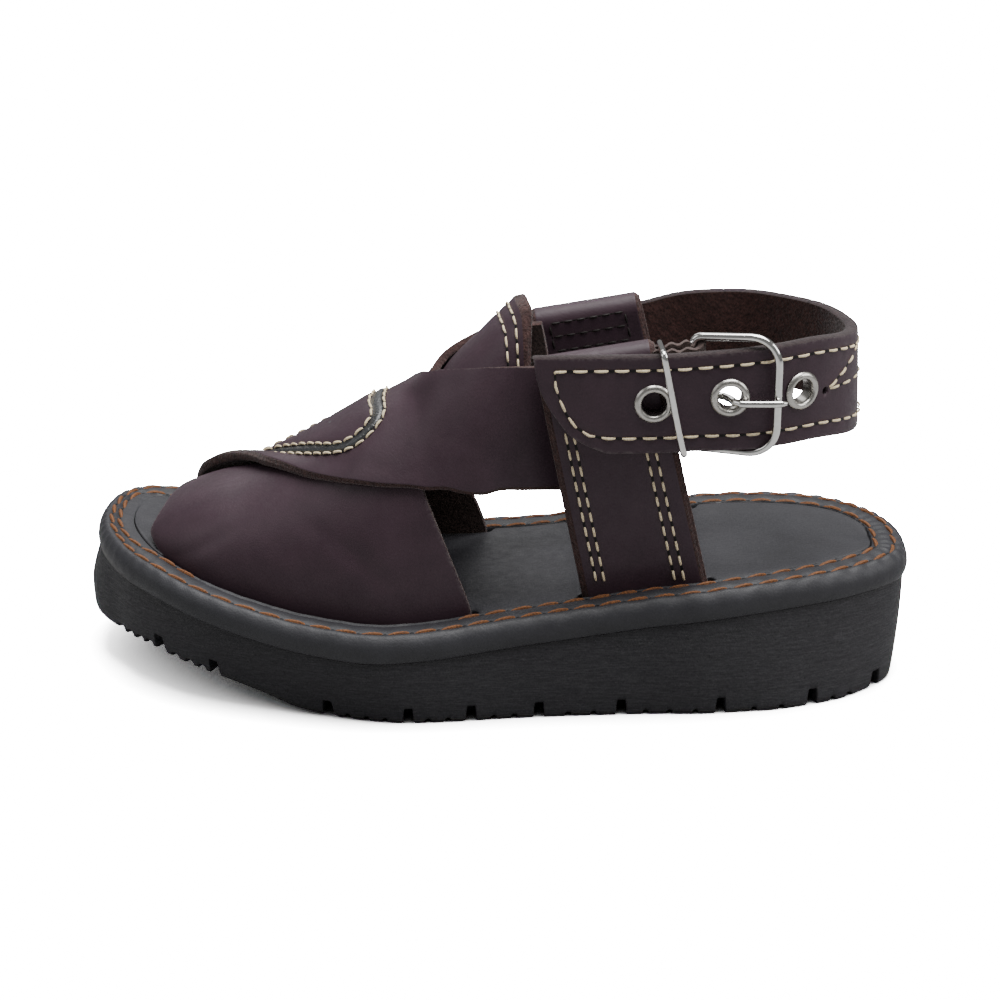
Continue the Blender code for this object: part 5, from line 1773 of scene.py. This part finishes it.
    def build_prong(self, wardrobe: Wardrobe) -> None:
        """Prong from the hidden bar, through the middle eyelet and over the open bar."""
        height = self.eyelets[1][1] - self.prong_drop
        bar = self.bar_across()
        radius = self.wire + self.gap + self.prong
        inner = self.across - self.leather / 2 - self.gap - self.prong
        outer = self.open_bar_across() + self.wire + self.gap + self.prong
        eye = self.eyelets[1][0]
        points = [(self.bar_back + radius * math.cos(math.radians(d)),
                   bar + radius * math.sin(math.radians(d)))
                  for d in (-150, -110, -70, -30, 10, 50, 90)]
        points += [(eye + 0.0045, inner), (eye + 0.0026, inner), (eye + 0.0010, inner + 0.0007),
                   (eye - 0.0002, inner + 0.0024), (eye - 0.0010, outer - 0.0014),
                   (eye - 0.0025, outer - 0.0001), (eye - 0.0058, outer),
                   (self.bar_back - self.frame_length + 0.001, outer + 0.0001),
                   (self.bar_back - self.frame_length - 0.0018, outer - 0.0002)]
        route = resample(np.array(points), 90)
        taper = np.interp(np.linspace(0, 1, 90), (0, 0.9, 0.97, 1.0), (1.0, 1.0, 0.85, 0.5))
        build = MeshBuild()
        build.add_tube(np.column_stack([route, np.full(90, height)]), self.prong * taper, 14)
        build.piece("prong_wire", [wardrobe.bright], ["buckle_prong"])

    def build_chape(self, wardrobe: Wardrobe) -> None:
        """Ragged suede tab out of the tunnel, folded round the hidden bar."""
        bar = np.array([self.bar_back, self.bar_across()])
        middle = self.outer_quarter.tunnel_across
        eye = self.wire + self.gap + self.chape_leather * self.chape_bend
        layer = self.chape_leather * 0.62
        quarter = self.outer_quarter
        front = quarter.top[0] - 0.006
        turn = np.radians(np.arange(-55, -306, -10))
        fold = np.column_stack([bar[0] + (eye - layer / 2) * np.cos(turn),
                                bar[1] + (eye - layer / 2) * np.sin(turn)])
        side = self.chape_leather / 2 - layer / 2
        plan = np.vstack([[(front, middle - side)], fold, [(front, middle + side)]])
        plan = resample(plan, 110)
        ahead = unit(np.gradient(plan, axis=0))
        out = np.stack([-ahead[:, 1], ahead[:, 0]], 1)
        share = (plan[:, 0] - quarter.top[0]) / (quarter.top[1] - quarter.top[0])
        top = quarter.fold_height(share) - quarter.leather - quarter.slack / 2
        ragged = 0.00035 * (np.sin(1900 * plan[:, 0]) + np.sin(3100 * plan[:, 1] + 1))
        levels = packed(24)
        high, low = top + ragged + 0.0004, top - self.chape_width - ragged - 0.0004
        z = high[:, None] + (low - high)[:, None] * levels[None, :]
        grids = []
        for sign in (1, -1):
            spot = plan + out * sign * layer / 2
            flat = np.broadcast_to(spot[:, None, :], (*z.shape, 2))
            grids.append(np.concatenate([flat, z[..., None]], -1))
        build = MeshBuild()
        build.add_sheet(grids[0], grids[1], 0.0001, (Face.GRAIN, Face.GRAIN, Face.GRAIN))
        build.piece("chape_suede", [wardrobe.flesh], ["buckle_chape"])


@dataclass(frozen=True)
class Studio:
    """Pale floor with a painted contact shadow, soft lights and the camera of the photograph."""

    target: tuple[float, float, float] = (-0.0012, 0.009, 0.045)
    distance: float = 0.600
    elevation: float = 21.5
    azimuth: float = 1.0
    lens: float = 92.66
    floor_shade: float = 0.34
    floor_glow: float = 24.0
    # reach and strength of the painted contact shadow on the floor
    painted_shadow_reach: float = 0.020
    painted_shadow_power: float = 1.7
    surround: Pair = (0.24, 20.0)

    def build(self) -> None:
        """Make the floor, the lights and the camera."""
        self.build_floor()
        self.build_lights()
        self.build_camera()

    def build_floor(self) -> None:
        """Wide sheet, brighter to the camera than to the shoe, and darker close under it from a
        painted contact shadow.
        """
        mesh = bpy.data.meshes.new("floor")
        size = 6.0
        mesh.from_pydata([(-size, -size, 0), (size, -size, 0), (size, size, 0), (-size, size, 0)],
                         [], [(0, 1, 2, 3)])
        floor = bpy.data.objects.new("floor", mesh)
        bpy.context.scene.collection.objects.link(floor)
        material = bpy.data.materials.new("white paper")
        material.use_nodes = True
        n = Nodes(material.node_tree)
        n.tree.nodes.remove(material.node_tree.nodes["Principled BSDF"])
        path = n.node("ShaderNodeLightPath").outputs["Is Camera Ray"]
        plain = (self.floor_shade,) * 3
        # ambient occlusion darkens the floor's camera colour near the shoe: painted contact shadow
        near = n.node("ShaderNodeAmbientOcclusion", {"Distance": self.painted_shadow_reach},
                      samples=32).outputs["AO"]
        glow_under_painted_shadow = n.math("MULTIPLY", n.math("POWER", near, self.painted_shadow_power),
                          self.floor_glow)
        glow = n.node("ShaderNodeCombineXYZ", {0: glow_under_painted_shadow, 1: glow_under_painted_shadow, 2: glow_under_painted_shadow}).outputs[0]
        shade = n.blend(path, (*plain, 1), glow)
        diffuse = n.node("ShaderNodeBsdfDiffuse", {"Color": shade})
        n.link(diffuse.outputs[0], material.node_tree.nodes["Material Output"], "Surface")
        mesh.materials.append(material)
        floor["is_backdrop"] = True

    def build_lights(self) -> None:
        """Even white surround, a soft light overhead, and weaker ones at heel, toe and inside."""
        world = bpy.data.worlds.new("studio")
        bpy.context.scene.world = world
        world.use_nodes = True
        n = Nodes(world.node_tree)
        back = world.node_tree.nodes["Background"]
        path = n.node("ShaderNodeLightPath").outputs["Is Camera Ray"]
        n.link(n.span(path, 0, 1, *self.surround), back, "Strength")
        back.inputs["Color"].default_value = (1, 1, 1, 1)
        for name, spot, size, power in (("overhead", (-0.12, -0.02, 1.0), 0.8, 25.0),
                                        ("heel", (-1.05, 0.20, 0.65), 0.6, 8.0),
                                        ("toe", (0.95, 0.25, 0.60), 0.6, 1.8),
                                        ("rear", (0.25, -0.95, 0.8), 0.7, 3.0)):
            data = bpy.data.lights.new(name, "AREA")
            data.size = size
            data.energy = power
            lamp = bpy.data.objects.new(name, data)
            lamp.location = spot
            aim = Vector(self.target) - Vector(spot)
            lamp.rotation_euler = aim.to_track_quat("-Z", "Y").to_euler()
            bpy.context.scene.collection.objects.link(lamp)

    def build_camera(self) -> None:
        """Camera on the outer side, a little above the shoe."""
        up, turn = math.radians(self.elevation), math.radians(self.azimuth)
        away = Vector((math.sin(turn) * math.cos(up), math.cos(turn) * math.cos(up),
                       math.sin(up)))
        data = bpy.data.cameras.new("camera")
        data.lens = self.lens
        data.sensor_width = 36.0
        camera = bpy.data.objects.new("camera", data)
        camera.location = Vector(self.target) + away * self.distance
        camera.rotation_euler = (-away).to_track_quat("-Z", "Y").to_euler()
        bpy.context.scene.collection.objects.link(camera)
        bpy.context.scene.camera = camera


def corners() -> list[list[float]]:
    """Lowest and highest corner of the shown shoe, as plain lists."""
    return [list(corner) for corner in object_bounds()]


def main() -> None:
    """Load the solids, dress them, and set up the studio."""
    logging.basicConfig(level=logging.INFO, format="%(name)s %(message)s")
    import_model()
    wardrobe = Wardrobe()
    shape = SoleShape()
    Sole(shape).build(wardrobe)
    CrossStraps(LastShape(shape)).build(wardrobe)
    outer = Quarter(shape, Side.OUTER, tunnel_across=0.3237 * shape.ball_width,
                    filling=0.0024, drop=0.0)
    inner = Quarter(shape, Side.INNER, tunnel_across=-0.2895 * shape.ball_width,
                    filling=0.003, drop=0.0032)
    outer.build(wardrobe, "quarter_strap_outer", "quarter_outer")
    inner.build(wardrobe, "quarter_strap_inner", "quarter_inner")
    HeelStrap(outer, inner).build(wardrobe)
    Studio().build()


if __name__ == "__main__":
    main()
